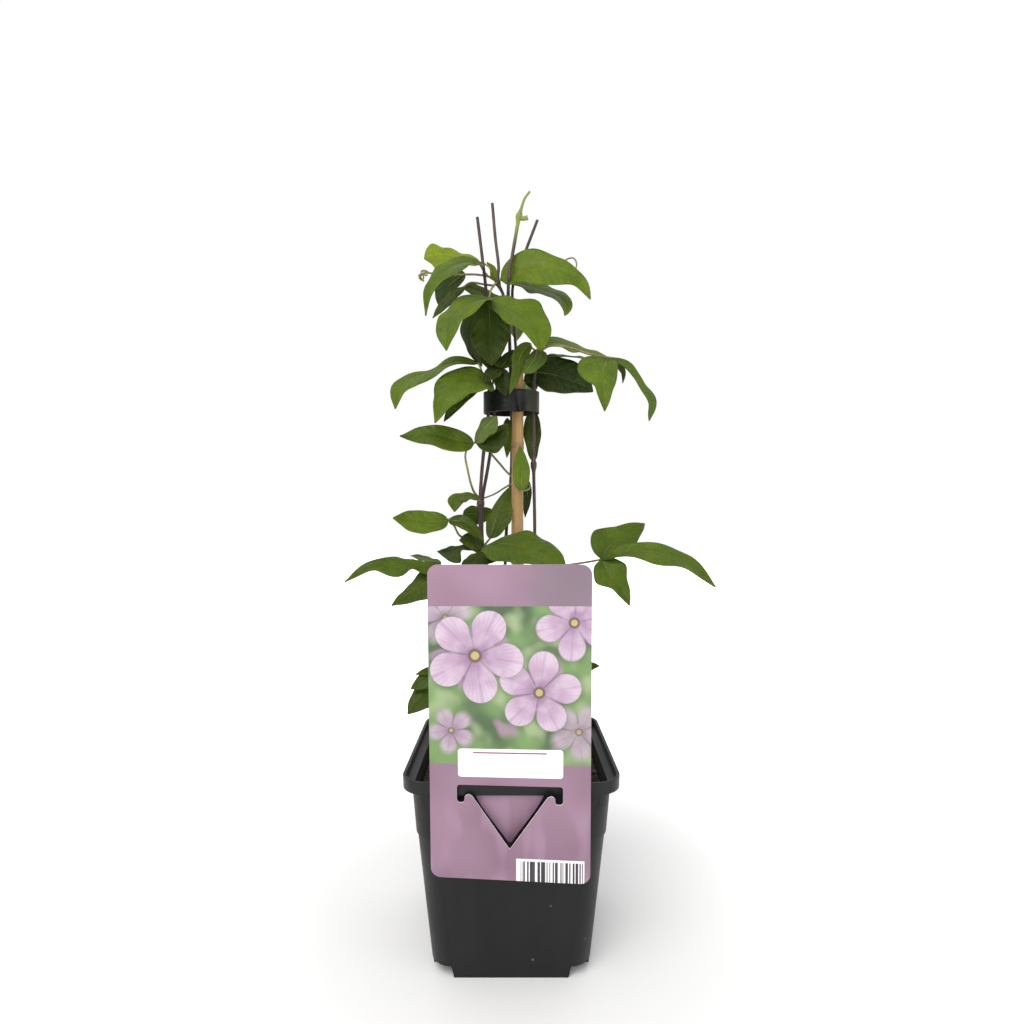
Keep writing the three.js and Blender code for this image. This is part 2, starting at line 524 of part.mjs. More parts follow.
// Every compound leaf: the centre lines of its stalks, the first from the stem's own centre
// line, and its blades.
const LEAVES = [
  {
    name: 'leaf_01_top_left',
    stalks: [
      [
        [-7, 0.5, 303.5], [-9.5, 1.5, 305.5], [-11, 3.5, 307], [-17, 5, 308.5], [-23, 5, 308.5],
        [-32.5, 2, 307], [-38.5, -2, 306.5], [-41, -3, 306], [-42.5, -2, 304.5], [-41, -1, 303],
      ],
      [[-9.5, 1.5, 305.5], [-10, -2.5, 308.5], [-12.5, -3, 310.5]],
      [[-11, 3.5, 307], [-14, 4, 311], [-15, 4, 313]],
      [[-7.7, 0.8, 304], [-8, 0, 304]],
    ],
    blades: [
      blade(
        [[-12.5, -3, 310], [-21, -8, 309], [-29, -14, 303.5], [-35.5, -18, 294.5], [-38, -22, 281]],
        [[9, 5], [9.5, 6], [3, 2.5]], [-0.35, -0.85, 0.4], 12,
      ),
      blade(
        [[-15, 4, 313], [-24, 7, 317], [-33, 8, 318.5], [-39, 7.5, 318], [-42, 7, 317]],
        [[5, 3.5], [8, 5.5], [9, 6]], [-0.1, -0.85, 0.5], 8,
      ),
      blade([[-22, 5, 309], [-30.5, 8, 304], [-35, 9, 294.5]], [[4.5, 6.5]], [-0.2, -0.95, 0.2], 8),
      blade(
        [[-8, 0, 304], [-8.5, -1, 308.5], [-11.5, -2, 311.5]], [[1.5, 1.5]], [0.2, -0.9, 0.2], 8,
      ),
    ],
  },
  {
    name: 'leaf_02_top_right',
    stalks: [
      [[-7, 0.5, 303.5], [-4, 0.5, 304.5], [-3, 3.5, 305], [-2, 5, 305.5]],
      [[-4, 0.5, 304.5], [-4.5, -2, 303.5], [-5, -4, 302.5]],
      [
        [-2, 5, 305.5], [3, 4.5, 310.5], [8.5, 5, 314.5], [23, 6, 314], [27, 5, 316],
        [29.5, 4, 316], [31, 3, 313], [30.5, 4, 310],
      ],
    ],
    blades: [
      blade(
        [[-5, -4, 302.5], [6, -8, 307], [20, -11, 305], [31, -12, 299], [37, -12, 291]],
        [[8, 10.5], [6.5, 11], [3, 4.5]], [0, -0.95, 0.35], 10,
      ),
      blade(
        [[-2, 5, 305.5], [11, 3, 301.5], [22, -1, 296], [28.5, -4, 287.5]], [[8.5, 11], [7, 10]],
        [0, -0.5, 0.9], 8,
      ),
    ],
  },
  {
    name: 'leaf_03_crown',
    stalks: [[[-7, 0.5, 303], [-8, -4, 300], [-9.5, -8, 296], [-10, -10, 292]]],
    blades: [
      blade(
        [[-10, -10, 292], [-20, -16, 287], [-27, -22, 277.5], [-28, -26, 264]], [[16, 8], [8, 6.5]],
        [-0.5, -0.8, 0.35], 12,
      ),
      blade(
        [[-10, -10, 292], [-2, -14, 287], [4.5, -17, 282.5], [11, -19, 275], [13, -20, 265.5]],
        [[6.5, 9], [13, 10], [8, 8]], [0.4, -0.85, 0.35], 8,
      ),
      blade(
        [[-10, -10, 292], [-10, -9, 281.5], [-9.5, -9, 271], [-9, -9, 261.5]], [[9, 8], [8, 7.5]],
        [0, -1, 0.1], 8,
      ),
    ],
  },
  {
    name: 'leaf_04_crown_back',
    stalks: [
      [[-7, 0.5, 303], [-8.5, 4, 303], [-13, 5.5, 304], [-19.5, 6, 305], [-23, 5, 302.5]],
    ],
    blades: [
      blade([[-23, 5, 302.5], [-13.5, 9, 301], [-1.5, 11, 296.5]], [[4, 7]], [0, -0.8, 0.6], 8),
      blade([[-23, 5, 302.5], [-30.5, 1, 295], [-36.5, -3, 285]], [[5, 2.5]], [-0.3, -0.8, 0.5], 8),
    ],
  },
  {
    name: 'leaf_05_inner_left',
    stalks: [[[-12, 0, 294], [-13.5, 3, 292.5]]],
    blades: [
      blade(
        [[-13.5, 3, 293], [-19, 3, 282.5], [-19, 2, 273], [-14.5, 1, 263.5]],
        [[7.5, 7], [7.5, 2.5]], [-0.6, -0.8, 0.1], 8,
      ),
    ],
  },
  {
    name: 'leaf_06_left',
    stalks: [
      [[-11, 0.5, 257], [-13.5, -2.5, 258], [-14, -4, 261], [-15.5, -5, 264]],
      [[-13.5, -2.5, 258], [-15.5, 1.5, 256.5], [-15, 5, 254.5]],
    ],
    blades: [
      blade(
        [
          [-15.5, -5, 263.5], [-25, -7, 264], [-37, -9, 259], [-47, -11, 254.5], [-51.5, -12, 249],
          [-53, -12, 241.5],
        ], [[5, 4], [7, 2.5], [10.5, 4.5], [5, 4]], [-0.4, -0.65, 0.6], 8,
      ),
      blade([[-15, 5, 255], [-23.5, 2, 248], [-31.5, -2, 237]], [[2.5, 4]], [0.1, -0.95, 0.2], 8),
    ],
  },
  {
    name: 'leaf_07_inner_low',
    stalks: [[[-6.5, 1, 261], [-5.5, -4.5, 261.5]]],
    blades: [
      blade(
        [[-5.5, -4.5, 261.5], [-4.5, -6.5, 255.5], [-2.5, -8, 248]], [[4, 4.5]], [0.1, -1, 0.1], 22,
      ),
      blade(
        [[-5.5, -4.5, 261.5], [-9.5, -4.5, 265], [-14.5, -3, 269.5]], [[4, 3.5]], [0, -1, 0.2], 8,
      ),
      blade([[-5.5, -4.5, 261.5], [-2, -3.5, 265.5], [1, -3, 270.5]], [[3, 3]], [0, -1, 0.2], 8),
      blade(
        [[-5.5, -4.5, 261.5], [-9, -10, 257.5], [-12.5, -13.5, 253]], [[3.5, 3.5]], [-0.2, -1, 0.2],
        8,
      ),
    ],
  },
  {
    name: 'leaf_08_right_arm',
    stalks: [
      [[12, 0, 269], [17.5, -7, 271], [26, -12, 269], [34.5, -16, 265], [44.5, -19, 262.5]],
    ],
    blades: [
      blade(
        [[42.5, -18.5, 262.5], [39.5, -25, 255.5], [38.5, -30, 247], [39, -34, 237]],
        [[6.5, 11.5], [5, 3]], [-0.1, -0.9, 0.4], 8,
      ),
      blade(
        [[44, -19, 262.5], [51.5, -18, 259], [58, -16, 251.5], [62.5, -14, 243], [61.5, -12, 236]],
        [[2.5, 2.5], [2.5, 2.5], [4.5, 2.5]], [0.4, -0.7, 0.5], 6,
      ),
      blade(
        [[44.5, -18.5, 262.5], [50, -14, 258], [50.5, -12, 253]], [[1.5, 1.5]], [0.2, -0.95, 0.2],
        6,
      ),
    ],
  },
  {
    name: 'leaf_09_right_long',
    stalks: [[[12, 0, 269.5], [13.5, -1, 272], [14, 0, 273]]],
    blades: [
      blade(
        [[14, 0, 273], [21, 2, 275], [31, 1, 272], [44.5, -4, 266.5]], [[6.5, 8], [6, 8]],
        [0.1, -0.5, 0.9], 6,
      ),
    ],
  },
  {
    name: 'leaf_10_right_low',
    stalks: [
      [[12, 0, 268.5], [15, 3, 268.5], [16.5, 5, 269.5]],
      [[15, 3, 268.5], [12.5, 4.5, 266.5], [9, 5, 263], [7.5, 5, 262]],
      [[7.7, 5, 262.2], [7.5, 6.5, 262.5]],
    ],
    blades: [
      blade(
        [[7.5, 5, 262], [18, 4.5, 261], [29.5, 4, 257], [39, 3, 252.5]], [[9, 9], [9, 6.5]],
        [0, -1, 0.2], 8,
      ),
      blade([[16, 5, 269], [27, 7, 270], [38, 9, 269]], [[6.5, 6.5]], [0, -0.3, 1], 6),
      blade([[7.5, 6.5, 262.5], [10, 9, 258.5], [11.5, 9.5, 253.5]], [[3.5, 3.5]], [0, -1, 0.1], 8),
    ],
  },
  {
    name: 'leaf_11_cane_top',
    stalks: [
      [[12, 0, 269], [11, -5, 269.5], [8.5, -6, 271.5], [9, -6, 272.5]],
      [[11, -4.9, 269.5], [12, -5, 270]],
    ],
    blades: [
      blade(
        [[9, -6, 272.5], [4.5, -8, 267], [2.5, -9, 259], [-1, -9, 248.5]], [[3.5, 4], [2.5, 2.5]],
        [0.3, -0.95, 0.1], 8,
      ),
      blade(
        [[12, -5, 270], [10.5, -10, 264.5], [5.5, -13, 256.5]], [[4, 5.5]], [0.3, 0.9, -0.2], 8,
      ),
    ],
  },
  {
    name: 'leaf_12_mid_left',
    stalks: [
      [
        [-14.5, 0, 201], [-17, 0, 203.5], [-18.5, -3.5, 207], [-20, -7, 214], [-21, -8.5, 221],
        [-19.5, -9, 224.5], [-16.5, -9, 226.5],
      ],
    ],
    blades: [
      blade(
        [[-17, -9, 226], [-25.5, -12, 227.5], [-34.5, -15, 229.5], [-49.5, -16, 228]],
        [[7, 5.5], [6, 5]], [-0.1, -0.9, 0.4], 8,
      ),
      blade(
        [[-16.5, -9, 226.5], [-9.5, -8, 229.5], [-1.5, -9, 235]], [[3, 8.5]], [0.1, -0.9, 0.35], 8,
      ),
      blade(
        [[-16.5, -9, 226.5], [-13, -12, 231.5], [-9.5, -13, 235], [-6.5, -13, 238]],
        [[4, 3], [5, 4.5]], [0.3, 0.9, -0.3], 8,
      ),
    ],
  },
  {
    name: 'leaf_13_mid_right',
    stalks: [[[10.5, 0, 217], [10.5, 4, 219]]],
    blades: [
      blade(
        [[10.5, 4, 219], [10, 6, 225], [10, 9, 235.5], [10.5, 14, 247.5]], [[3, 3], [4.5, 4.5]],
        [0.2, -0.95, -0.1], 8,
      ),
    ],
  },
  {
    name: 'leaf_14_round_cane',
    stalks: [
      [
        [-10, 2, 223], [-6, 3.5, 218.5], [-1, 4.2, 213], [3.5, 4.5, 210.5], [8, 3, 208.5],
        [8, -4, 205.5], [4.5, -7, 204.5],
      ],
      [[3.5, 4.5, 210.5], [0, 4.5, 208.5], [-4, 3.5, 206], [-8, 2.5, 203.5], [-13, 1.5, 201.5]],
      [[7.2, 3.3, 208.8], [8, 4, 210]],
    ],
    blades: [
      blade([[4.5, -7, 204.5], [4.5, -6, 214], [4, -6, 225]], [[4, 4]], [0, -1, 0.1], 8),
      blade([[8, 4, 210], [7.5, 5, 201], [6.5, 6, 192.5]], [[2, 2]], [0.2, -0.95, 0], 6),
    ],
  },
  {
    name: 'leaf_15_low_cane',
    stalks: [[[-12.5, -2.3, 179.5], [-10, -4, 182.5]]],
    blades: [
      blade([[-10, -4, 182.5], [-6.5, 0, 194], [0, 3.5, 207.5]], [[4, 7.5]], [-0.3, -0.9, 0.3], 8),
    ],
  },
  {
    name: 'leaf_16_low_small',
    stalks: [[[-14.4, 0, 198], [-15.2, -5.5, 200.8]]],
    blades: [
      blade(
        [[-15, -5.5, 201], [-20.5, -8, 202], [-25.5, -11, 200.5], [-25.5, -14, 195]],
        [[4.5, 3.5], [5.5, 3.5]], [-0.3, -0.7, 0.6], 8,
      ),
    ],
  },
  {
    name: 'leaf_17_low_left',
    stalks: [
      [
        [-14, -1.5, 181.5], [-18.5, -6.5, 182.5], [-23.5, -9, 184], [-26, -10, 188.5],
        [-28.5, -11, 191.5],
      ],
      [[-28.5, -11, 191.5], [-25.5, -4, 192], [-22.5, 3, 193.5]],
    ],
    blades: [
      blade(
        [[-28.5, -11, 191], [-35.5, -13, 190.5], [-44.5, -15, 191], [-52.5, -17, 192]],
        [[6.5, 5.5], [6.5, 5.5]], [-0.1, -0.8, 0.6], 8,
      ),
      blade(
        [[-28.5, -11, 191], [-21, -13, 190], [-12.5, -14, 182]], [[3.5, 3.5]], [0, -0.8, 0.6], 8,
      ),
      blade([[-23, 3, 194], [-15.5, 5, 194.5], [-8, 6, 195.5]], [[4, 6]], [0, -0.85, 0.5], 8),
    ],
  },
  {
    name: 'leaf_18_low_left_under',
    stalks: [
      [[-12.5, -2.3, 178.5], [-14, -8, 176.5]],
      [[-13.8, -7.1, 176.8], [-14.5, -7, 177]],
    ],
    blades: [
      blade(
        [[-14.5, -7, 177], [-23, -8, 178.5], [-29, -10, 176.5], [-33.5, -12, 176.5]],
        [[2.5, 2.5], [10, 2.5]], [-0.1, -0.6, 0.8], 8,
      ),
      blade(
        [[-14, -7.5, 177], [-17, -9.5, 181.5], [-23.5, -12, 182]], [[5, 4.5]], [0, -0.8, 0.6], 8,
      ),
    ],
  },
  {
    name: 'leaf_19_low_front',
    stalks: [
      [[-12.5, -2.3, 178], [-10, -6, 174.5], [-8, -9, 173.5]],
      [[-8.1, -8.8, 173.6], [-8, -9, 174.5]],
    ],
    blades: [
      blade(
        [[-8, -9, 174.5], [-14.5, -18.5, 174.5], [-22, -28, 169]], [[8, 4.5]], [-0.1, -0.6, 0.8], 8,
      ),
    ],
  },
  {
    name: 'leaf_20_low_right_front',
    stalks: [[[-12.5, -2.3, 179], [-8.5, -9.5, 180], [-8.5, -9.5, 181]]],
    blades: [
      blade(
        [[-8.5, -9.5, 181], [3, -22, 180], [14, -32, 176.5], [22.5, -40, 169]],
        [[10.5, 16], [7.5, 12]], [0.15, -0.65, 0.75], 8,
      ),
    ],
  },
  {
    name: 'leaf_21_left_arm',
    stalks: [[[-13.5, -2, 162], [-21, -12, 167.5], [-31.5, -20, 171.5]]],
    blades: [
      blade(
        [
          [-31, -20, 172], [-37.5, -24, 171.5], [-43, -26.5, 172], [-48.5, -29, 171.5],
          [-58.5, -32, 172], [-69.5, -34, 165.5],
        ], [[6, 2], [3, 3], [6.5, 5.5], [3, 2.5]], [-0.1, -0.75, 0.65], 8,
      ),
      blade(
        [[-31, -20, 172], [-38, -15, 174], [-45.5, -12, 175.5]], [[4.5, 2.5]], [0, -0.2, 0.95], 6,
      ),
      blade(
        [[-31.5, -20, 171.5], [-36.5, -27, 165], [-42.5, -32, 160], [-49.5, -36, 156]],
        [[10, 5.5], [6, 3.5]], [-0.2, -0.75, 0.6], 8,
      ),
    ],
  },
  {
    name: 'leaf_22_right_arm',
    stalks: [[[10.8, -0.3, 170], [21.5, -11, 170.5], [32.5, -19, 172.5], [39, -23, 174]]],
    blades: [
      blade(
        [[39, -23, 174], [42.5, -19, 179], [51, -13, 185], [61, -8, 189.5]], [[9, 6.5], [5, 7]],
        [0, -0.9, 0.45], 8,
      ),
      blade(
        [[39, -23, 174], [49, -26, 177.5], [61, -29, 177.5], [73.5, -33, 174], [85, -35, 163.5]],
        [[4, 3.5], [6, 8.5], [4, 6.5]], [0.05, -0.6, 0.8], 8,
      ),
      blade(
        [[39, -23, 174], [42, -26, 168.5], [46, -28, 162], [50, -30, 155]],
        [[7.5, 7.5], [4.5, 2.5]], [0, -0.95, 0.3], 8,
      ),
    ],
  },
  {
    name: 'leaf_23_base_left',
    stalks: [[[-11.5, -3, 122], [-20, -9, 126.5], [-28.5, -15, 124.5]]],
    blades: [
      blade(
        [[-28.5, -15, 124.5], [-36, -19, 117], [-41, -21, 112], [-45, -23, 107]],
        [[10, 6.5], [6.5, 4]], [-0.4, -0.8, 0.5], 8,
      ),
      blade(
        [[-28.5, -15, 124.5], [-36.5, -19, 122], [-44, -21, 117.5]], [[5.5, 3.5]],
        [-0.3, -0.85, 0.4], 6,
      ),
      blade(
        [[-28.5, -15, 125], [-36, -18, 125], [-42, -20, 123.5]], [[2.5, 1.5]], [-0.2, -0.9, 0.4], 6,
      ),
    ],
  },
  {
    name: 'leaf_24_base_right',
    stalks: [[[10, -1, 131], [22, -6, 133], [27.5, -10, 129.5], [28.5, -10, 127.5]]],
    blades: [
      blade(
        [[28.5, -10, 127.5], [34, -13, 125.5], [39, -16, 126.5]], [[2.5, 3.5]], [0.1, -0.8, 0.6], 8,
      ),
    ],
  },
  {
    name: 'leaf_25_back_top',
    stalks: [[[0.6, 7.5, 294], [3, 14, 294], [4, 20, 292]]],
    blades: [
      blade([[4, 20, 292], [9, 34, 294], [14, 45, 286]], [[7, 7]], [0.3, 0.2, 0.9], 8),
      blade([[4, 20, 292], [-4, 33, 293], [-12, 44, 284]], [[7, 7]], [-0.3, 0.2, 0.9], 8),
      blade([[4, 20, 292], [3, 38, 298], [3, 55, 291]], [[7, 7]], [0, 0, 1], 8),
    ],
  },
  {
    name: 'leaf_26_back_middle',
    stalks: [[[2.7, 7.5, 262], [7, 16, 264], [9, 23, 262]]],
    blades: [
      blade([[9, 23, 262], [20, 36, 266], [30, 45, 261.5]], [[7, 7]], [0.3, 0.2, 0.9], 8),
      blade([[9, 23, 262], [2, 37, 262], [-4, 50, 253]], [[6, 6]], [-0.3, 0.2, 0.9], 8),
      blade([[9, 23, 262], [8, 41, 262], [8, 57, 252]], [[5, 5]], [0, 0.3, 0.9], 8),
    ],
  },
  {
    name: 'leaf_27_back_low',
    stalks: [[[4, 7.5, 158], [2, 16, 164], [0, 23, 164]]],
    blades: [
      blade([[0, 23, 164], [-14, 33, 166], [-28, 40, 156]], [[8, 8]], [-0.3, 0.2, 0.9], 8),
      blade([[0, 23, 164], [14, 34, 166], [27, 42, 157]], [[8, 8]], [0.3, 0.2, 0.9], 8),
      blade([[0, 23, 164], [0, 43, 165], [0, 60, 151]], [[7, 7]], [0, 0.3, 0.9], 8),
    ],
  },
  {
    name: 'leaf_28_under_tape',
    stalks: [[[0, 6.5, 236], [-2, 3.5, 239.5]]],
    blades: [
      blade(
        [[-2, 3.5, 239.5], [-1.5, 1.5, 230.5], [-2, 1, 220.5]], [[2.5, 2.5]], [-0.2, -1, 0.1], 8,
      ),
    ],
  },
  {
    name: 'leaf_29_over_tape',
    stalks: [[[-7, 1, 256], [-8, -3.5, 257], [-8.5, -6.5, 254.5], [-8.5, -6.5, 253.5]]],
    blades: [
      blade(
        [
          [-8.5, -6.5, 253.5], [-17.5, -12, 255], [-26.5, -17, 251], [-31, -21, 242.5],
          [-33, -24, 233],
        ], [[15, 9.5], [12.5, 9], [6.5, 3]], [-0.35, -0.85, 0.4], 8,
      ),
    ],
  },
];

function leafSolid({ name, stalks, blades }, standing) {
  const pieces = stalks.map((path) => tube(path, STALK_RADIUS, STALK_SIDES, STALK_STEP));
  pieces.push(...blades.map(bladeSolid));
  const leaf = standing.reduce((left, piece) => left.subtract(piece), joined(pieces));
  const parts = leaf.decompose().sort((a, b) => b.volume() - a.volume());
  if (parts.length > 1 && parts[1].volume() > SCRAP) {
    throw new Error(`${name}: a stalk or a blade hangs free`);
  }
  return parts[0];
}

// ---------------------------------------------------------------- the object

const FINISH = {
  pot: { color: 0x2f3032, roughness: 0.55, metalness: 0 },
  soil: { color: 0x2a211b, roughness: 0.95, metalness: 0 },
  cane: { color: 0xb08f63, roughness: 0.6, metalness: 0 },
  tape: { color: 0x1c1d1c, roughness: 0.5, metalness: 0 },
  label: { color: 0xb980ad, roughness: 0.4, metalness: 0 },
  stem: { color: 0x4a3026, roughness: 0.6, metalness: 0 },
  leaf: { color: 0x55741f, roughness: 0.55, metalness: 0 },
};

const clematis = new THREE.Group();

function place(name, body, finish) {
  const mesh = new THREE.Mesh(geometryOf(body), new THREE.MeshStandardMaterial(FINISH[finish]));
  mesh.name = name;
  clematis.add(mesh);
}

const stemBodies = stems(0);
const stemRooms = Object.values(stems(CLEARANCE));
const caneRoom = caneSolid(CLEARANCE);

place('pot', potSolid(), 'pot');
place('soil', soilSolid([caneRoom, ...stemRooms]), 'soil');
place('cane', caneSolid(0), 'cane');
place('tape', tapeSolid(), 'tape');
place('label', labelSolid(), 'label');
for (const [name, body] of Object.entries(stemBodies)) place(name, body, 'stem');
for (const leaf of LEAVES) place(leaf.name, leafSolid(leaf, [caneRoom, ...stemRooms]), 'leaf');

export default clematis;
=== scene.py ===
import functools
import math
import random

import bmesh
import bpy
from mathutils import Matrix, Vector, noise


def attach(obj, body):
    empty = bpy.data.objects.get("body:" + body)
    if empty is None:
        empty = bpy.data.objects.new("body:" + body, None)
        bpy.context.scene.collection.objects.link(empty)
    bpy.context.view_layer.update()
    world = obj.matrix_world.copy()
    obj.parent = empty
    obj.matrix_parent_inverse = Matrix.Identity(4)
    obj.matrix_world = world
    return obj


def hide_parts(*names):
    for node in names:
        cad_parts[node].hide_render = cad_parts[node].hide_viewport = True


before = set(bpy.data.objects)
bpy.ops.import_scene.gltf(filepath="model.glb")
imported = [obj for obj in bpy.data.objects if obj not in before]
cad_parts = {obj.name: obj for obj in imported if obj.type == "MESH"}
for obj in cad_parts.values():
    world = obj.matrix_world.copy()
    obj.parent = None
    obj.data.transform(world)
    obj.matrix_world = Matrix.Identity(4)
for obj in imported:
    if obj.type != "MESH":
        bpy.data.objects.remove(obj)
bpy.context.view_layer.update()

# ---------------------------------------------------------------- sizes in millimetres

POT_HEIGHT = 86
RIM_WIDTH = 90
RIM_CORNER = 11
BAND_HEIGHT = 5
LEDGE_HEIGHT = POT_HEIGHT - BAND_HEIGHT
BODY_TOP_WIDTH = 83
BODY_BOTTOM_WIDTH = 66.8
STEP_HEIGHT = 61  # the wall steps in here, so that stacked pots don't jam
WIDTH_ABOVE_STEP = 79.7
WIDTH_BELOW_STEP = 78.9
BODY_CORNER = 9
POT_WALL = 1.3
FOOT_HALF = 25
FOOT_HEIGHT = 5
FOOT_DRAFT = 1.4  # how much narrower each foot is on the floor than at its top
DRAIN_RADIUS = 2.2
DRAIN_OFFSET = 28.4
INNER_WALL_REACH = 40.7  # how far from the middle the inner walls with painted shade lie below the ledge
INNER_BAND_REACH = 43.6  # and above it
CORNERS = ((-1, -1), (-1, 1), (1, -1), (1, 1))

SOIL_TOP = 75
SOIL_BUMP = 1.6
SOIL_GAP = 0.3
SOIL_CELLS = 96
CRUMBS = 420

CANE_X = 3
CANE_BOTTOM = 12
CANE_TOP = 264
CANE_RADIUS_BOTTOM = 3.4
CANE_RADIUS_TOP = 2.6
CANE_JOINTS = (104, 226)
CANE_SIDES = 36
# how far above each joint each ring of its swelling stands, and how far out it swells
JOINT_RINGS = (
    (-5, 0.02), (-2.4, 0.12), (-1.1, 0.3), (-0.4, 0.34), (0, 0.12), (0.4, 0.22), (1, 0.35),
    (1.9, 0.24), (3.2, 0.08), (5, 0),
)
JOINT_ROOM = 7  # no plain ring stands nearer to a joint than this

TAPE_BOTTOM = 241.5
TAPE_HEIGHT = 10
TAPE_HALF_WIDTH = 13.2
TAPE_HALF_DEPTH = 8.6
TAPE_CENTRE_Y = 2
TAPE_THICKNESS = 0.4
ENDS_LEFT = (0.9, -4.1)  # the left edge of the pinched ends at their bottom and top
ENDS_RIGHT = (5.3, 7.4)

LABEL_WIDTH = 63.5
LABEL_HEIGHT = 126.6
LABEL_CENTRE_X = -0.6
LABEL_BOTTOM = 47.4
LABEL_THICKNESS = 0.6
LABEL_CORNER = 4
LABEL_GAP = 0.3
LABEL_LEAN = 5.5  # degrees, the top towards the front
LABEL_TWIST = 5  # degrees gained from the top edge down to the bottom edge
SLOT_HALF_WIDTH = 21
SLOT_TOP = 38.9
NOTCH_DROP = 7.4
NOTCH_WIDTH = 3.1
HOOK_DROP = 4
TONGUE_HALF_WIDTH = 14.5
TONGUE_DROP = 26

STEM_RADIUS = 0.85
OLD_WOOD_RADIUS = 1.25
STALK_RADIUS = 0.5
LEAFLET_THICKNESS = 0.3
LEAFLET_ROWS = 28
LEAFLET_COLUMNS = 14

FRONT_LIGHT = 0.34
BACK_LIGHT = 1.0
TOP_LIGHT = 0.8
KEY_WATTS = 9.5
FILL_WATTS = 2

EYE = (0.3, -299, 190.9)  # the camera's place
EYE_LENS = 22.36
EYE_SHIFT = 0.0084  # the photo's middle lies this share of its height above the horizon

chance = random.Random(11)


def mm(*sizes):
    """Millimetres as metres: one size, or a place from three."""
    if len(sizes) == 1:
        return sizes[0] * 0.001
    return Vector(sizes) * 0.001


# ---------------------------------------------------------------- camera, light and floor


def camera():
    bpy.ops.object.camera_add(location=mm(*EYE), rotation=(math.pi / 2, 0, 0))
    eye = bpy.context.object
    eye.name = "photo_camera"
    eye.data.lens = EYE_LENS
    eye.data.sensor_width = 36
    eye.data.shift_y = EYE_SHIFT
    eye.data.clip_start = 0.01
    eye.data.dof.use_dof = False
    bpy.context.scene.camera = eye


def lamp(name, place, aim, size, watts, colour):
    """A soft box at a place in metres, turned to what it lights."""
    bpy.ops.object.light_add(type="AREA", location=place)
    box = bpy.context.object
    box.name = name
    box.rotation_euler = (Vector(aim) - Vector(place)).to_track_quat("-Z", "Y").to_euler()
    box.data.shape = "RECTANGLE"
    box.data.size, box.data.size_y = size
    box.data.energy = watts
    box.data.color = colour


def studio():
    """A pale room: bright behind and above, dimmer in front, with soft boxes in front."""
    world = bpy.data.worlds.new("pale studio")
    bpy.context.scene.world = world
    world.use_nodes = True
    node = functools.partial(add, world.node_tree)
    way = node("TexCoord")["Generated"]
    axes = node("SeparateXYZ", way)
    behind = node("MapRange", axes["Y"], -0.25, 0.4, FRONT_LIGHT, BACK_LIGHT)
    above = node("MapRange", axes["Z"], 0.15, 0.8, FRONT_LIGHT, TOP_LIGHT)
    background = world.node_tree.nodes["Background"]
    feed(background, "Color", "#ffffff")
    feed(background, "Strength", node("Math", behind, above, operation="MAXIMUM"))
    bpy.context.scene.view_settings.view_transform = "Standard"
    lamp("key", (-0.3, -0.75, 0.9), (0, 0, 0.2), (0.8, 0.8), KEY_WATTS, (1, 0.985, 0.96))
    lamp("fill", (0.9, -0.6, 0.4), (0, 0, 0.18), (0.6, 0.6), FILL_WATTS, (0.96, 0.98, 1))


# ---------------------------------------------------------------- making by hand


def pick(piece, kind, wanted):
    """In edit mode, selects the VERT, EDGE or FACE parts that wanted says yes to."""
    bpy.ops.mesh.select_mode(type=kind)
    bpy.ops.mesh.select_all(action="DESELECT")
    shape = bmesh.from_edit_mesh(piece.data)
    for part in {"VERT": shape.verts, "EDGE": shape.edges, "FACE": shape.faces}[kind]:
        if wanted(part):
            part.select_set(True)
    bmesh.update_edit_mesh(piece.data)


def hold(piece):
    """Leaves edit mode and makes the piece the only one selected."""
    if bpy.context.mode != "OBJECT":
        bpy.ops.object.mode_set(mode="OBJECT")
    bpy.ops.object.select_all(action="DESELECT")
    piece.select_set(True)
    bpy.context.view_layer.objects.active = piece


def open_up(piece):
    hold(piece)
    bpy.ops.object.mode_set(mode="EDIT")


def settle(piece, name=None):
    """Applies the piece's place, turn and size, and names it."""
    hold(piece)
    bpy.ops.object.transform_apply(location=True, rotation=True, scale=True)
    if name:
        piece.name = piece.data.name = name
    return piece


def apply(piece, kind, **settings):
    """Adds one modifier and applies it."""
    hold(piece)
    modifier = piece.modifiers.new("shaping", kind)
    for key, value in settings.items():
        setattr(modifier, key, value)
    bpy.ops.object.modifier_apply(modifier=modifier.name)
    return piece


def face_outwards(piece):
    open_up(piece)
    bpy.ops.mesh.select_all(action="SELECT")
    bpy.ops.mesh.normals_make_consistent(inside=False)
    hold(piece)


def carve(piece, operation, tool):
    apply(piece, "BOOLEAN", operation=operation, solver="EXACT", object=tool)
    bpy.data.objects.remove(tool)
    return piece


def gather(name, pieces):
    bpy.ops.object.select_all(action="DESELECT")
    for piece in pieces:
        piece.select_set(True)
    bpy.context.view_layer.objects.active = pieces[0]
    if len(pieces) > 1:
        bpy.ops.object.join()
    return settle(pieces[0], name)


def smooth(piece, degrees):
    hold(piece)
    bpy.ops.object.shade_smooth_by_angle(angle=math.radians(degrees))


def wear(piece, *finishes):
    piece.data.materials.clear()
    for finish in finishes:
        piece.data.materials.append(finish)
    return piece


def stand_for(piece, slot, *nodes):
    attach(piece, "root")
    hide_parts(*nodes)


def block(low, high):
    """A plain block between two corners, as the start of a cut or a plate."""
    low, high = mm(*low), mm(*high)
    bpy.ops.object.select_all(action="DESELECT")
    bpy.ops.mesh.primitive_cube_add(size=1, location=(low + high) / 2, scale=high - low)
    return settle(bpy.context.object)


def part_way(start, end, from_here, to_here, here):
    return start + (end - start) * ((here - from_here) / (to_here - from_here))


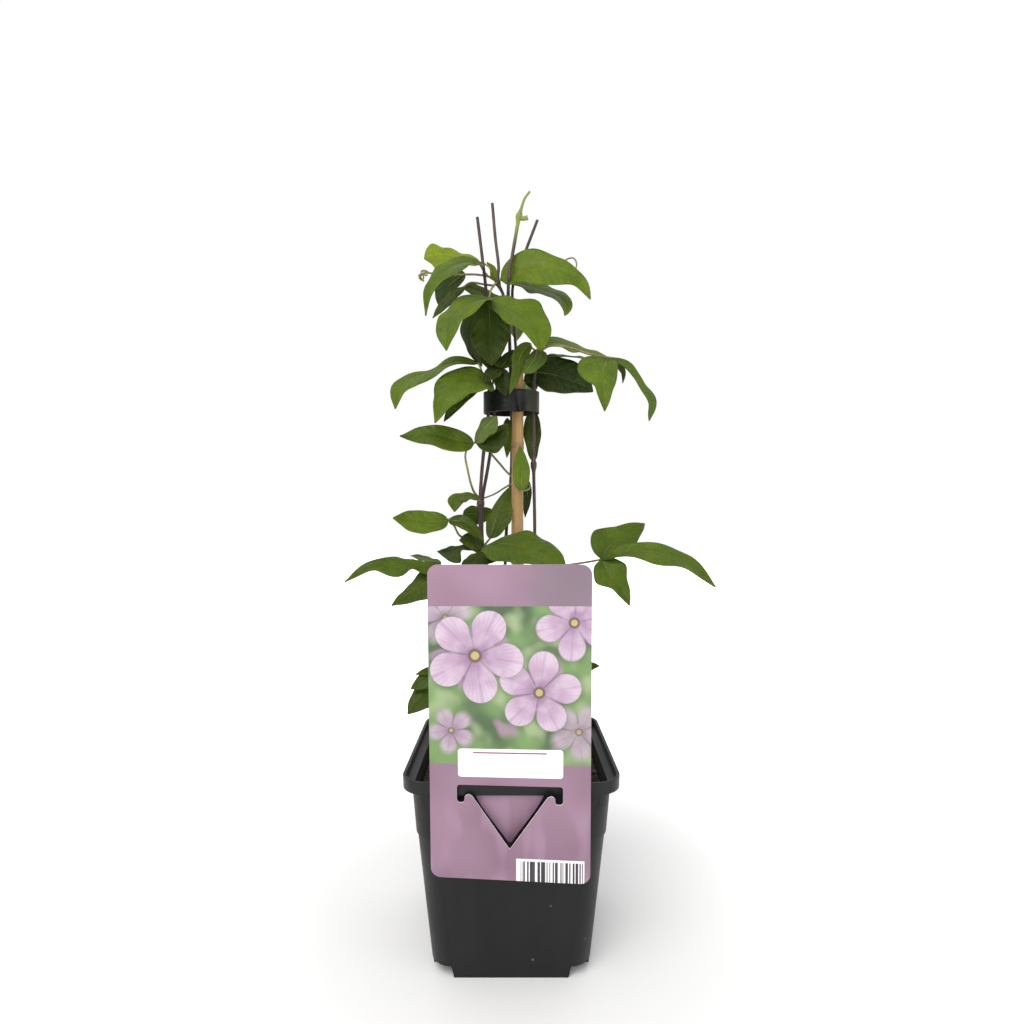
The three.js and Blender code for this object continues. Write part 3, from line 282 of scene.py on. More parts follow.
def smooth_path(points, step):
    """Points at most a step apart on a smooth curve through the given ones."""
    knots = [Vector(point) for point in points]
    knots = [knots[0] * 2 - knots[1], *knots, knots[-1] * 2 - knots[-2]]
    path = [knots[1]]
    for a, b, c, d in zip(knots, knots[1:], knots[2:], knots[3:]):
        ta = 0
        tb = ta + max((b - a).length, 1e-6) ** 0.5
        tc = tb + max((c - b).length, 1e-6) ** 0.5
        td = tc + max((d - c).length, 1e-6) ** 0.5
        steps = max(1, math.ceil((c - b).length / step))
        for i in range(1, steps + 1):
            t = tb + (tc - tb) * i / steps
            ab = part_way(a, b, ta, tb, t)
            bc = part_way(b, c, tb, tc, t)
            cd = part_way(c, d, tc, td, t)
            path.append(
                part_way(part_way(ab, bc, ta, tc, t), part_way(bc, cd, tb, td, t), tb, tc, t)
            )
    return path


def cane_like(path, radii, rounding=2):
    """A round stalk along a path in millimetres, with its own radius at each point."""
    curve = bpy.data.curves.new("stalk", "CURVE")
    curve.dimensions = "3D"
    curve.bevel_depth = 0.001
    curve.bevel_resolution = rounding
    curve.use_fill_caps = True
    spline = curve.splines.new("POLY")
    spline.points.add(len(path) - 1)
    for point, place, radius in zip(spline.points, path, radii):
        point.co = (*(place * 0.001), 1)
        point.radius = radius
    stalk = bpy.data.objects.new("stalk", curve)
    bpy.context.collection.objects.link(stalk)
    hold(stalk)
    bpy.ops.object.convert(target="MESH")
    stalk = bpy.context.object
    bpy.ops.object.shade_smooth()
    return stalk


def mark(piece, name, value):
    """Gives every vertex of a piece the same number under a name that its finish reads."""
    field = piece.data.attributes.new(name, "FLOAT", "POINT")
    for entry in field.data:
        entry.value = value


# ---------------------------------------------------------------- finishes


def linear(code):
    """An sRGB hex value as linear light."""
    shares = [int(code[i : i + 2], 16) / 255 for i in (1, 3, 5)]
    light = [s / 12.92 if s <= 0.04045 else ((s + 0.055) / 1.055) ** 2.4 for s in shares]
    return (*light, 1)


# Each kind of node: the sockets that it is fed, in order, and the one output that it gives, or
# nothing where each use names its own.
NODES = {
    "Math": ((0, 1, 2), 0),
    "MapRange": (("Value", "From Min", "From Max", "To Min", "To Max"), "Result"),
    "Mix": ((0, 6, 7), 2),
    "TexNoise": (("Vector", "Scale", "Detail", "Roughness"), "Fac"),
    "TexVoronoi": (("Vector", "Scale"), None),
    "Bump": (("Height", "Distance", "Strength", "Normal"), 0),
    "Mapping": (("Vector", "Scale", "Rotation"), 0),
    "CombineXYZ": (("X", "Y", "Z"), 0),
    "SeparateXYZ": ((0,), None),
    "SeparateColor": ((0,), None),
    "VectorMath": ((0,), None),
    "UVMap": ((), 0),
    "Attribute": ((), "Fac"),
    "TexCoord": ((), None),
}
# A range goes smoothly from one end to the other, and a mix is of colours.
ALWAYS = {"MapRange": {"interpolation_type": "SMOOTHSTEP"}, "Mix": {"data_type": "RGBA"}}


def feed(node, socket, value):
    """Feeds a node's socket a number, a hex colour or another node's output."""
    if isinstance(value, bpy.types.NodeSocket):
        node.id_data.links.new(value, node.inputs[socket])
    else:
        node.inputs[socket].default_value = linear(value) if isinstance(value, str) else value


def add(tree, kind, *fed, **settings):
    """Adds a node with its settings, and feeds its sockets in the order that NODES gives."""
    made = tree.nodes.new("ShaderNode" + kind)
    for key, value in {**ALWAYS.get(kind, {}), **settings}.items():
        setattr(made, key, value)
    sockets, output = NODES[kind]
    for socket, value in zip(sockets, fed):
        feed(made, socket, value)
    return made.outputs if output is None else made.outputs[output]


def new_finish(name):
    """A new material, what adds a node to it, and its shader."""
    finish = bpy.data.materials.new(name)
    finish.use_nodes = True
    tree = finish.node_tree
    return finish, functools.partial(add, tree), tree.nodes["Principled BSDF"]


def moulded_polypropylene():
    """Recycled polypropylene, injection moulded: charcoal, satin, with faint flow marks, a fine
    pebbled skin, a few pale rubbed spots low on the walls, and painted shade on the inner walls
    above the soil."""
    finish, node, shader = new_finish("moulded recycled polypropylene")
    place = node("TexCoord")["Object"]
    upright = node("Mapping", place, (1, 1, 0.15))
    flow = node("TexNoise", upright, 60, 3)
    cloud = node("TexNoise", place, 28, 4, 0.6)
    tone = node("Mix", node("MapRange", flow, 0.3, 0.7), "#101112", "#161718")
    tone = node("Mix", node("MapRange", cloud, 0.5, 0.8, 0, 0.5), tone, "#212122")
    spots = node("TexVoronoi", place, 140.0)
    spot = node("MapRange", spots["Distance"], 0.1, 0.03)
    axes = node("SeparateXYZ", place)
    height = axes["Z"]
    # painted shade: the inner walls above the soil are painted near black, standing in for the
    # shade inside the pot
    out = node(
        "Math", node("Math", axes["X"], operation="ABSOLUTE"),
        node("Math", axes["Y"], operation="ABSOLUTE"), operation="MAXIMUM",
    )
    wall = node(
        "MapRange", height, mm(LEDGE_HEIGHT - 0.5), mm(LEDGE_HEIGHT), mm(INNER_WALL_REACH),
        mm(INNER_BAND_REACH),
    )
    inside = node("Math", wall, out, operation="SUBTRACT")
    painted_inner_shade = node("MapRange", inside, 0, mm(0.3), 0, 0.85)
    above_soil = node("MapRange", height, mm(SOIL_TOP - 2), mm(SOIL_TOP - 1))
    painted_inner_shade = node("Math", painted_inner_shade, above_soil, operation="MULTIPLY")
    tone = node("Mix", painted_inner_shade, tone, "#050403")
    low_down = node("MapRange", height, 0.06, 0.01, 0, 1)
    rubbed = node("Math", spot, low_down, operation="MULTIPLY")
    rubbed = node("Math", rubbed, node("MapRange", cloud, 0.48, 0.6, 0, 0.5), operation="MULTIPLY")
    tone = node("Mix", rubbed, tone, "#8a8a8c")
    feed(shader, "Base Color", tone)
    sheen = node("MapRange", cloud, 0.3, 0.7, 0.42, 0.54)
    feed(shader, "Roughness", sheen)
    pebbles = node("TexNoise", place, 1100, 2)  # 0.9 mm; the real 0.2 mm texture wouldn't show
    bump = node("Bump", pebbles, 0.00006, 0.3)
    waves = node("TexNoise", place, 30, 1)
    bump = node("Bump", waves, 0.0008, 0.35, bump)
    feed(shader, "Normal", bump)
    feed(shader, "IOR", 1.49)
    feed(shader, "Specular IOR Level", 0.28)
    return finish


def peat_compost():
    """Peat and bark compost, loose and dry on top: near black with brown fibres and crumbs,
    quite matt."""
    finish, node, shader = new_finish("loose peat compost")
    place = node("TexCoord")["Object"]
    crumbs = node("TexVoronoi", place, 520.0)
    fine = node("TexNoise", place, 900, 4, 0.65)
    patch = node("TexNoise", place, 90, 3)
    tone = node("Mix", node("MapRange", fine, 0.35, 0.7), "#15100d", "#3b2c21")
    tone = node("Mix", node("MapRange", patch, 0.5, 0.75, 0, 0.6), tone, "#4a3a2c")
    tint = node("SeparateColor", crumbs["Color"])["Red"]
    tone = node("Mix", node("MapRange", tint, 0.86, 0.95, 0, 0.8), tone, "#7a6650")
    feed(shader, "Base Color", tone)
    feed(shader, "Roughness", 0.93)
    bump = node("Bump", crumbs["Distance"], 0.0012, 0.8)
    bump = node("Bump", fine, 0.0006, 0.8, bump)
    feed(shader, "Normal", bump)
    return finish


def dry_bamboo():
    """Dry bamboo, a whole stem cut to length: pale tan with fine fibres along it,
    waxy and satin, darker at its joints."""
    finish, node, shader = new_finish("dry bamboo")
    place = node("TexCoord")["Object"]
    along = node("Mapping", place, (1, 1, 0.03))
    fibres = node("TexNoise", along, 1800, 4, 0.6)
    streaks = node("TexNoise", along, 500, 2)
    stains = node("TexNoise", place, 60, 4, 0.6)
    tone = node("Mix", fibres, "#7d5e34", "#a48350")
    tone = node("Mix", node("MapRange", streaks, 0.5, 0.72, 0, 0.5), tone, "#7c5c34")
    tone = node("Mix", node("MapRange", stains, 0.55, 0.8, 0, 0.55), tone, "#806238")
    height = node("SeparateXYZ", place)["Z"]
    for joint in CANE_JOINTS:
        away = node(
            "Math", node("Math", height, mm(joint), operation="SUBTRACT"), operation="ABSOLUTE"
        )
        tone = node("Mix", node("MapRange", away, mm(2.4), mm(0.5), 0, 0.55), tone, "#6b5130")
    feed(shader, "Base Color", tone)
    feed(shader, "Roughness", 0.42)
    bump = node("Bump", fibres, 0.00012, 0.6)
    feed(shader, "Normal", bump)
    return finish


def soft_vinyl_film():
    """Soft polyvinyl chloride film, calendered: black with a dull, slightly greasy gloss, and
    painted light making it greyer on the right."""
    finish, node, shader = new_finish("black polyvinyl film")
    place = node("TexCoord")["Object"]
    across = node("SeparateXYZ", place)["X"]
    cloud = node("TexNoise", place, 120, 3)
    tone = node("Mix", cloud, "#070805", "#0f100c")
    # painted light: the right of the loop and of the pinched ends is painted greyer, where light
    # falls on the film
    painted_light_on_right = node("MapRange", across, mm(5.5), mm(7.5), 0, 0.8)
    tone = node("Mix", painted_light_on_right, tone, "#2c2c22")
    feed(shader, "Specular IOR Level", 0.25)
    feed(shader, "Base Color", tone)
    feed(shader, "Roughness", node("MapRange", cloud, 0.3, 0.7, 0.34, 0.5))
    stretched = node("Mapping", place, (0.35, 0.35, 1))
    creases = node("TexNoise", stretched, 420, 3)
    bump = node("Bump", creases, 0.0005, 0.5)
    feed(shader, "Normal", bump)
    return finish


def printed_card():
    """Polypropylene card, offset printed and varnished: a mauve heading, a picture of broad
    five-petalled blooms on blurred green, a white plate with a thin rule, plain bars, and a
    mauve foot; smooth, with a soft gloss."""
    finish, node, shader = new_finish("printed polypropylene card")
    where = node("UVMap", uv_map="print")
    axes = node("SeparateXYZ", where)
    x = node("Math", axes["X"], LABEL_WIDTH, -LABEL_WIDTH / 2, operation="MULTIPLY_ADD")
    y = node("Math", axes["Y"], LABEL_HEIGHT, operation="MULTIPLY")
    flat = node("CombineXYZ", x, y)

    def beyond(value, middle, half_size):
        away = node(
            "Math", node("Math", value, middle, operation="SUBTRACT"), operation="ABSOLUTE"
        )
        return node(
            "Math", node("Math", away, half_size, operation="SUBTRACT"), 0.0, operation="MAXIMUM"
        )

    def inside(low_x, high_x, low_y, high_y, corner=0.1):
        """1 inside a rectangle of the print in millimetres, with rounded corners."""
        over_x = beyond(x, (low_x + high_x) / 2, (high_x - low_x) / 2 - corner)
        over_y = beyond(y, (low_y + high_y) / 2, (high_y - low_y) / 2 - corner)
        over = node(
            "Math", over_x, over_x, node("Math", over_y, over_y, operation="MULTIPLY"),
            operation="MULTIPLY_ADD",
        )
        return node("MapRange", node("Math", over, operation="SQRT"), corner + 0.12, corner - 0.05)

    def bloom(picture, centre_x, centre_y, size, turn, blur, strength):
        """Paints one open bloom of five broad petals, deeper towards its heart."""
        dx = node("Math", x, centre_x, operation="SUBTRACT")
        dy = node("Math", y, centre_y, operation="SUBTRACT")
        squared = node("Math", dy, dy, operation="MULTIPLY")
        squared = node("Math", dx, dx, squared, operation="MULTIPLY_ADD")
        away = node("Math", squared, operation="SQRT")
        angle = node("Math", node("Math", dy, dx, operation="ARCTAN2"), turn, operation="ADD")
        lobe = node("Math", node("Math", angle, 2.5, operation="MULTIPLY"), operation="COSINE")
        lobe = node("Math", lobe, operation="ABSOLUTE")
        reach = node("Math", lobe, 0.55, operation="POWER")
        reach = node("Math", reach, 0.56 * size, 0.44 * size, operation="MULTIPLY_ADD")
        past = node("Math", away, reach, operation="SUBTRACT")
        shadow = node("MapRange", past, 0.22 * size, -0.1 * size, 0, 0.45 * strength)
        picture = node("Mix", shadow, picture, "#36422f")
        share = node("Math", away, size, operation="DIVIDE", use_clamp=True)
        colour = node("Mix", node("MapRange", share, 0.05, 0.5), "#80607f", "#a58aa2")
        colour = node("Mix", node("MapRange", share, 0.5, 0.95), colour, "#b8a3b5")
        line = node("Math", node("Math", angle, 55.0, operation="MULTIPLY"), operation="COSINE")
        ray = node("MapRange", line, 0.2, 1.0, 0, 0.16)
        colour = node("Mix", ray, colour, "#75557a")
        middle_line = node("MapRange", lobe, 0.985, 0.999, 0, 0.35)
        colour = node("Mix", middle_line, colour, "#8a6a88")
        crease = node("MapRange", lobe, 0.3, 0.0, 0, 0.75)
        colour = node("Mix", crease, colour, "#5f4562")
        light = node("MapRange", node("TexNoise", flat, 0.16, 2), 0.4, 0.7, 0, 0.3)
        colour = node("Mix", light, colour, "#cfc0cb")
        petal = node("MapRange", past, blur, -blur, 0, strength)
        picture = node("Mix", petal, picture, colour)
        eye = node("MapRange", away, 0.17 * size, 0.12 * size, 0, strength)
        picture = node("Mix", eye, picture, "#604440")
        eye = node("MapRange", away, 0.1 * size, 0.07 * size, 0, strength)
        return node("Mix", eye, picture, "#a59c60")

    mottle = node("TexNoise", flat, 0.05, 2, 0.4)
    glow = node("TexNoise", flat, 0.09, 1, 0.3)
    bed = node("Mix", node("MapRange", mottle, 0.35, 0.62), "#36502c", "#66854c")
    bed = node("Mix", node("MapRange", glow, 0.5, 0.7, 0, 0.75), bed, "#94a37a")
    bed = node("Mix", node("MapRange", glow, 0.42, 0.3, 0, 0.8), bed, "#977890")
    for bloom_x, bloom_y, size, turn, blur, strength in (
        (-25, 106, 10, 0.9, 2.5, 0.75), (27, 61, 11, 0.2, 2.5, 0.7), (-23, 61, 9, 0.5, 2.0, 0.8),
        (25, 104, 15, 0.4, 0.6, 1.0), (11.5, 76.5, 16.5, 1.1, 0.3, 1.0),
        (-13.5, 91, 19, 0.15, 0.2, 1.0),
    ):
        bed = bloom(bed, bloom_x, bloom_y, size, turn, blur, strength)

    soft = node("TexNoise", flat, 0.03, 1)
    mauve = node("Mix", node("MapRange", soft, 0.3, 0.7), "#7e5f73", "#8d6e82")
    drift = node("Math", mottle, 30.0, x, operation="MULTIPLY_ADD")
    cloud = node(
        "Math", node("MapRange", drift, 8, 40), node("MapRange", y, 60, 110), operation="MULTIPLY"
    )
    tint = node("Mix", node("Math", cloud, 0.7, operation="MULTIPLY"), mauve, "#6a5e68")
    lean = node("Mapping", flat, (1, 0.35, 1), (0, 0, 0.7))
    folds = node("TexNoise", lean, 0.09, 1)
    low = node("MapRange", y, 36, 22)
    sweep = node("Math", node("MapRange", folds, 0.46, 0.58, 0, 0.4), low, operation="MULTIPLY")
    tint = node("Mix", sweep, tint, "#a1829a")
    tone = node("Mix", inside(-99, 99, 47.6, 110.4), tint, bed)
    tone = node("Mix", inside(-20.4, 20.9, 42.3, 53.7, 1.2), tone, "#eceaec")
    tone = node("Mix", inside(-14.5, 14.5, 51.9, 52.4), tone, "#7a3450")
    tone = node("Mix", inside(2.6, 29.4, -3, 9.2), tone, "#e8e6e9")
    across = node("CombineXYZ", x)
    bars = node("MapRange", node("TexNoise", across, 1.0, 1), 0.485, 0.5)
    bars = node("Math", bars, inside(4.2, 28.8, -3, 8.2), operation="MULTIPLY")
    tone = node("Mix", bars, tone, "#2d2a30")
    feed(shader, "Base Color", tone)
    feed(shader, "Roughness", 0.38)
    feed(shader, "Coat Weight", 0.15)
    feed(shader, "Coat Roughness", 0.2)
    bump = node("Bump", node("TexNoise", flat, 0.09, 2), 0.0005, 0.15)
    feed(shader, "Normal", bump)
    return finish


def bare_card():
    """The same card where it isn't printed, on its cut edges and its back: off-white and matt,
    with faint sheet marks."""
    finish, node, shader = new_finish("unprinted polypropylene card")
    place = node("TexCoord")["Object"]
    cloud = node("TexNoise", place, 70, 3)
    tone = node("Mix", cloud, "#e2e0e0", "#f1efee")
    feed(shader, "Base Color", tone)
    feed(shader, "Roughness", node("MapRange", cloud, 0.3, 0.7, 0.45, 0.6))
    bump = node("Bump", node("TexNoise", place, 700, 2), 0.00005, 0.4)
    feed(shader, "Normal", bump)
    return finish


def young_bark():
    """First-year clematis bark: thin, ribbed along the stem, purple brown with greener and
    paler stretches, satin."""
    finish, node, shader = new_finish("young clematis bark")
    place = node("TexCoord")["Object"]
    along = node("Mapping", place, (1, 1, 0.08))
    ribs = node("TexNoise", along, 1300, 3)
    patch = node("TexNoise", place, 70, 3, 0.6)
    tone = node("Mix", ribs, "#1e1411", "#412c25")
    tone = node("Mix", node("MapRange", patch, 0.48, 0.7, 0, 0.6), tone, "#593f32")
    young = node("Attribute", attribute_name="youth")
    green = node("Mix", ribs, "#55601c", "#87903a")
    tone = node("Mix", young, tone, green)
    feed(shader, "Base Color", tone)
    feed(shader, "Roughness", 0.5)
    bump = node("Bump", ribs, 0.0003, 0.7)
    feed(shader, "Normal", bump)
    return finish


def leaf_stalk():
    """The thin wiry stalk of a leaf: smooth skin, olive flushed with purple, satin."""
    finish, node, shader = new_finish("clematis leaf stalk")
    place = node("TexCoord")["Object"]
    flush = node("TexNoise", place, 60, 3)
    tone = node("Mix", node("MapRange", flush, 0.38, 0.62), "#5d3f33", "#727234")
    streak = node("TexNoise", place, 900, 2)
    tone = node("Mix", node("MapRange", streak, 0.4, 0.7, 0, 0.4), tone, "#93894c")
    feed(shader, "Base Color", tone)
    feed(shader, "Roughness", 0.45)
    feed(shader, "Normal", node("Bump", streak, 0.0001, 0.5))
    return finish


def leaf_blade(name, upper):
    """A leaf blade's skin. Above: leathery, mid green with a broad soft sheen and thin lime veins
    sunk into it. Below: paler, greyer and matt, with its veins standing out."""
    finish, node, shader = new_finish(name)
    where = node("UVMap", uv_map="UVMap")
    axes = node("SeparateXYZ", where)
    along = axes["X"]
    across = node("Math", axes["Y"], 2.0, -1.0, operation="MULTIPLY_ADD")
    half = node("Attribute", attribute_name="half_width")
    length = node("Attribute", attribute_name="length")
    # tone: how light the blade is, partly its own green and partly painted shade on blades deep in
    # the foliage and painted light on blades lit through from behind
    own_tone_and_painted_shade = node("Attribute", attribute_name="tone")
    side = node("Math", across, operation="ABSOLUTE")
    along_mm = node("Math", along, length, operation="MULTIPLY")
    side_mm = node("Math", side, half, operation="MULTIPLY")
    place = node("TexCoord")["Object"]

    # the midrib and two pairs of veins that leave the base together and meet again at the tip
    thin = node("Math", along, -0.16, 0.24, operation="MULTIPLY_ADD")
    veins = node("MapRange", node("Math", side_mm, thin, operation="DIVIDE"), 1.5, 0.5)
    for share, strength in ((0.42, 0.6), (0.76, 0.3)):
        away = node("Math", node("Math", side, share, operation="SUBTRACT"), operation="ABSOLUTE")
        line = node(
            "MapRange", node("Math", away, half, operation="MULTIPLY"), 0.22, 0.07, 0, strength
        )
        veins = node("Math", veins, line, operation="MAXIMUM")
    # side veins every 4.5 mm, slanting forwards
    slant = node("Math", side_mm, -0.9, along_mm, operation="MULTIPLY_ADD")
    slant = node("Math", node("TexNoise", place, 160, 1), 1.6, slant, operation="MULTIPLY_ADD")
    repeat = node("Math", slant, 2.25, operation="PINGPONG")
    line = node("MapRange", repeat, 0.2, 0.03, 0, 0.3)
    veins = node("Math", veins, line, operation="MAXIMUM")
    # the net of the smallest veins
    flat = node("CombineXYZ", along_mm, side_mm, across)
    net = node("TexVoronoi", flat, 0.75, feature="DISTANCE_TO_EDGE")
    cells = node("MapRange", net["Distance"], 0.16, 0.02, 0, 1)

    patch = node("TexNoise", place, 75, 3, 0.6)
    speck = node("TexNoise", place, 700, 2)
    lively = node("Math", own_tone_and_painted_shade, 0.9, 0.15, operation="MULTIPLY_ADD")
    pale = node("Math", node("MapRange", patch, 0.45, 0.72, 0, 0.55), lively, operation="MULTIPLY")
    if upper:
        tone = node("Mix", node("MapRange", own_tone_and_painted_shade, 0, 0.5), "#131e01", "#465a04")
        tone = node("Mix", node("MapRange", own_tone_and_painted_shade, 0.5, 1), tone, "#6f7e02")
        tone = node("Mix", pale, tone, "#6e7c1c")
        tone = node("Mix", node("MapRange", patch, 0.48, 0.25, 0, 0.4), tone, "#213502")
        # painted shade: each upper side darker towards its stalk, deep in the foliage
        tone = node("Mix", node("MapRange", along, 0.22, 0, 0, 0.35), tone, "#1c3004")
        tone = node("Mix", node("MapRange", speck, 0.3, 0.7, 0, 0.1), tone, "#2b430d")
        tone = node("Mix", node("Math", cells, 0.05, operation="MULTIPLY"), tone, "#6c7f22")
        drawn = node(
            "Math", veins, node("MapRange", own_tone_and_painted_shade, 0, 0.6, 0.16, 0.42), operation="MULTIPLY"
        )
        tone = node("Mix", drawn, tone, "#74843a")
    else:
        tone = node("Mix", node("MapRange", own_tone_and_painted_shade, 0, 0.5), "#22350a", "#46591a")
        tone = node("Mix", node("MapRange", own_tone_and_painted_shade, 0.5, 1), tone, "#75825a")
        tone = node("Mix", pale, tone, "#6f7d48")
        tone = node("Mix", node("Math", cells, 0.2, operation="MULTIPLY"), tone, "#34440f")
        tone = node("Mix", node("Math", veins, 0.5, operation="MULTIPLY"), tone, "#7d8a58")
    rim = node("MapRange", side, 0.93, 1.0, 0, 0.35)
    tone = node("Mix", rim, tone, "#4f5a20")
    feed(shader, "Base Color", tone)
    feed(shader, "Roughness", 0.7)
    if upper:
        feed(shader, "Roughness", node("MapRange", patch, 0.3, 0.7, 0.42, 0.56))
    height = node("Math", veins, -1 if upper else 1, operation="MULTIPLY")
    bump = node("Bump", height, 0.0003, 0.8)
    quilting = node("Math", node("MapRange", repeat, 0, 2.25), side, operation="MULTIPLY")
    bump = node("Bump", quilting, 0.0004, 0.6, bump)
    bump = node("Bump", cells, 0.00004, 0.4, bump)
    swell = node("TexNoise", place, 150, 1)
    bump = node("Bump", swell, 0.0016, 0.6, bump)
    feed(shader, "Normal", bump)
    feed(shader, "Specular IOR Level", 0.18)
    feed(shader, "Subsurface Weight", 0.1)
    feed(shader, "Subsurface Radius", (0.5, 1.0, 0.2))
    feed(shader, "Subsurface Scale", 0.001)
    return finish


def pale_matt_board():
    """Painted board for the floor: white and matt with a faint roller texture round the plant,
    and lit from within farther out, so that its edge doesn't show from the photo's side."""
    finish, node, shader = new_finish("painted pale board")
    place = node("TexCoord")["Object"]
    cloud = node("TexNoise", place, 6, 3)
    tone = node("Mix", cloud, "#ececec", "#f0f0f0")
    feed(shader, "Base Color", tone)
    feed(shader, "Roughness", 0.9)
    feed(shader, "Specular IOR Level", 0.1)
    away = node("VectorMath", place, operation="LENGTH")["Value"]
    feed(shader, "Emission Color", "#ffffff")
    glow = node("MapRange", away, 0.07, 0.4, 0, 1)
    feed(shader, "Emission Strength", glow)
    return finish


# ---------------------------------------------------------------- pot and soil


def square_block(low, high, low_width, high_width, corner):
    """A square block between two heights, widening upwards, its upright corners rounded."""
    piece = block(
        (-low_width / 2, -low_width / 2, low),
        (low_width / 2, low_width / 2, high),
    )
    open_up(piece)
    pick(piece, "FACE", lambda face: face.normal.z > 0.9)
    wider = high_width / low_width
    bpy.ops.transform.resize(value=(wider, wider, 1), center_override=mm(0, 0, high))
    pick(piece, "EDGE", lambda edge: abs((edge.verts[0].co - edge.verts[1].co).z) > 1e-4)
    bpy.ops.mesh.bevel(offset=mm(corner), segments=8, affect="EDGES")
    hold(piece)
    return piece


def body_width(height):
    if height < STEP_HEIGHT:
        return part_way(BODY_BOTTOM_WIDTH, WIDTH_BELOW_STEP, 0, STEP_HEIGHT, height)
    return part_way(WIDTH_ABOVE_STEP, BODY_TOP_WIDTH, STEP_HEIGHT, LEDGE_HEIGHT, height)


def pot_form(inset, ledge, top):
    """The pot's form brought in by an inset: lower wall, upper wall and rim band, with the
    corners raised off the floor."""
    lower = square_block(
        inset,
        STEP_HEIGHT + 1,
        body_width(inset) - 2 * inset,
        WIDTH_BELOW_STEP - 2 * inset,
        BODY_CORNER - inset,
    )
    upper = square_block(
        STEP_HEIGHT,
        ledge + 1,
        WIDTH_ABOVE_STEP - 2 * inset,
        body_width(ledge) - 2 * inset,
        BODY_CORNER - inset,
    )
    rim = square_block(
        ledge, top, RIM_WIDTH - 2 * inset - 0.3, RIM_WIDTH - 2 * inset, RIM_CORNER - inset
    )
    form = carve(carve(lower, "UNION", upper), "UNION", rim)
    for side_x, side_y in CORNERS:
        inner = FOOT_HALF - inset
        xs = sorted((inner * side_x, BODY_TOP_WIDTH * side_x))
        ys = sorted((inner * side_y, BODY_TOP_WIDTH * side_y))
        raised = block((xs[0], ys[0], -1), (xs[1], ys[1], FOOT_HEIGHT + inset))
        low_corner = Vector((side_x, side_y, 0)) * mm(BODY_TOP_WIDTH)
        open_up(raised)
        pick(raised, "FACE", lambda face: face.normal.z < -0.9)
        wider = 1 + FOOT_DRAFT / (BODY_TOP_WIDTH - inner)
        bpy.ops.transform.resize(value=(wider, wider, 1), center_override=low_corner)
        hold(raised)
        form = carve(form, "DIFFERENCE", raised)
    return form


def nursery_pot():
    pot = pot_form(0, LEDGE_HEIGHT, POT_HEIGHT)
    pot = carve(pot, "DIFFERENCE", pot_form(POT_WALL, LEDGE_HEIGHT + POT_WALL, POT_HEIGHT + 1))
    for side_x, side_y in CORNERS:
        bpy.ops.object.select_all(action="DESELECT")
        bpy.ops.mesh.primitive_cylinder_add(
            vertices=24,
            radius=mm(DRAIN_RADIUS),
            depth=mm(2 * FOOT_HEIGHT),
            location=mm(side_x * DRAIN_OFFSET, side_y * DRAIN_OFFSET, FOOT_HEIGHT),
        )
        pot = carve(pot, "DIFFERENCE", settle(bpy.context.object))
    back = -RIM_WIDTH / 2 + POT_WALL
    slit = block(
        (LABEL_CENTRE_X - TONGUE_HALF_WIDTH - 3, back, LEDGE_HEIGHT - 1),
        (LABEL_CENTRE_X + TONGUE_HALF_WIDTH + 3, back + 1.5, LEDGE_HEIGHT + 2),
    )
    pot = carve(pot, "DIFFERENCE", slit)
    apply(
        pot,
        "BEVEL",
        width=mm(0.35),
        segments=2,
        limit_method="ANGLE",
        angle_limit=math.radians(40),
    )
    settle(pot, "moulded_pot")
    smooth(pot, 35)
    wear(pot, POLYPROPYLENE)
    stand_for(pot, "pot", "pot")


def soil_lift(x, y):
    return (
        math.sin(0.31 * x + 1.3) * math.cos(0.27 * y)
        + 0.6 * math.sin(0.63 * y - 0.41 * x)
        + 0.5 * math.cos(0.83 * x + 0.52 * y)
    )


def soil_height(x, y, room):
    """The height of the soil's top at a place, level where it meets the pot's wall."""
    edge = max(abs(x), abs(y)) / room
    middle = max(0, min(1, (1 - edge) * 7))
    lumps = noise.fractal(Vector((x * 0.22, y * 0.22, 3.1)), 0.9, 2.1, 5)
    return SOIL_TOP + SOIL_BUMP * (0.6 + soil_lift(x, y)) * middle + 1.1 * lumps * middle


def compost():
    room = body_width(SOIL_TOP) / 2 - POT_WALL - SOIL_GAP
    bpy.ops.object.select_all(action="DESELECT")
    bpy.ops.mesh.primitive_grid_add(
        x_subdivisions=SOIL_CELLS,
        y_subdivisions=SOIL_CELLS,
        size=mm(2 * room + 8),
        location=mm(0, 0, 1),
    )
    soil = settle(bpy.context.object)
    open_up(soil)
    bpy.ops.mesh.select_all(action="SELECT")
    bpy.ops.mesh.extrude_region_move(TRANSFORM_OT_translate={"value": mm(0, 0, SOIL_TOP - 1)})
    hold(soil)
    for vertex in soil.data.vertices:
        if vertex.co.z > mm(SOIL_TOP / 2):
            x, y = vertex.co.x * 1000, vertex.co.y * 1000
            vertex.co.z = mm(soil_height(x, y, room))
    face_outwards(soil)
    inset = POT_WALL + SOIL_GAP
    carve(soil, "INTERSECT", pot_form(inset, LEDGE_HEIGHT, POT_HEIGHT))
    crumbs = [soil]
    bpy.ops.object.select_all(action="DESELECT")
    bpy.ops.mesh.primitive_ico_sphere_add(subdivisions=1, radius=mm(1))
    crumb = settle(bpy.context.object)
    for _ in range(CRUMBS):
        x, y = (chance.uniform(-1, 1) * (room - 1.5) for _ in range(2))
        size = 0.45 + 1.1 * chance.random() ** 3
        copy = crumb.copy()
        copy.data = crumb.data.copy()
        bpy.context.collection.objects.link(copy)
        copy.scale = [size * chance.uniform(0.5, 1.3) for _ in range(3)]
        copy.rotation_euler = [chance.uniform(0, 3) for _ in range(3)]
        copy.location = mm(x, y, soil_height(x, y, room) + 0.25 * size)
        crumbs.append(copy)
    bpy.data.objects.remove(crumb)
    soil = gather("compost", crumbs)
    smooth(soil, 50)
    wear(soil, COMPOST)
    stand_for(soil, "soil", "soil")


# ---------------------------------------------------------------- cane, tape and label


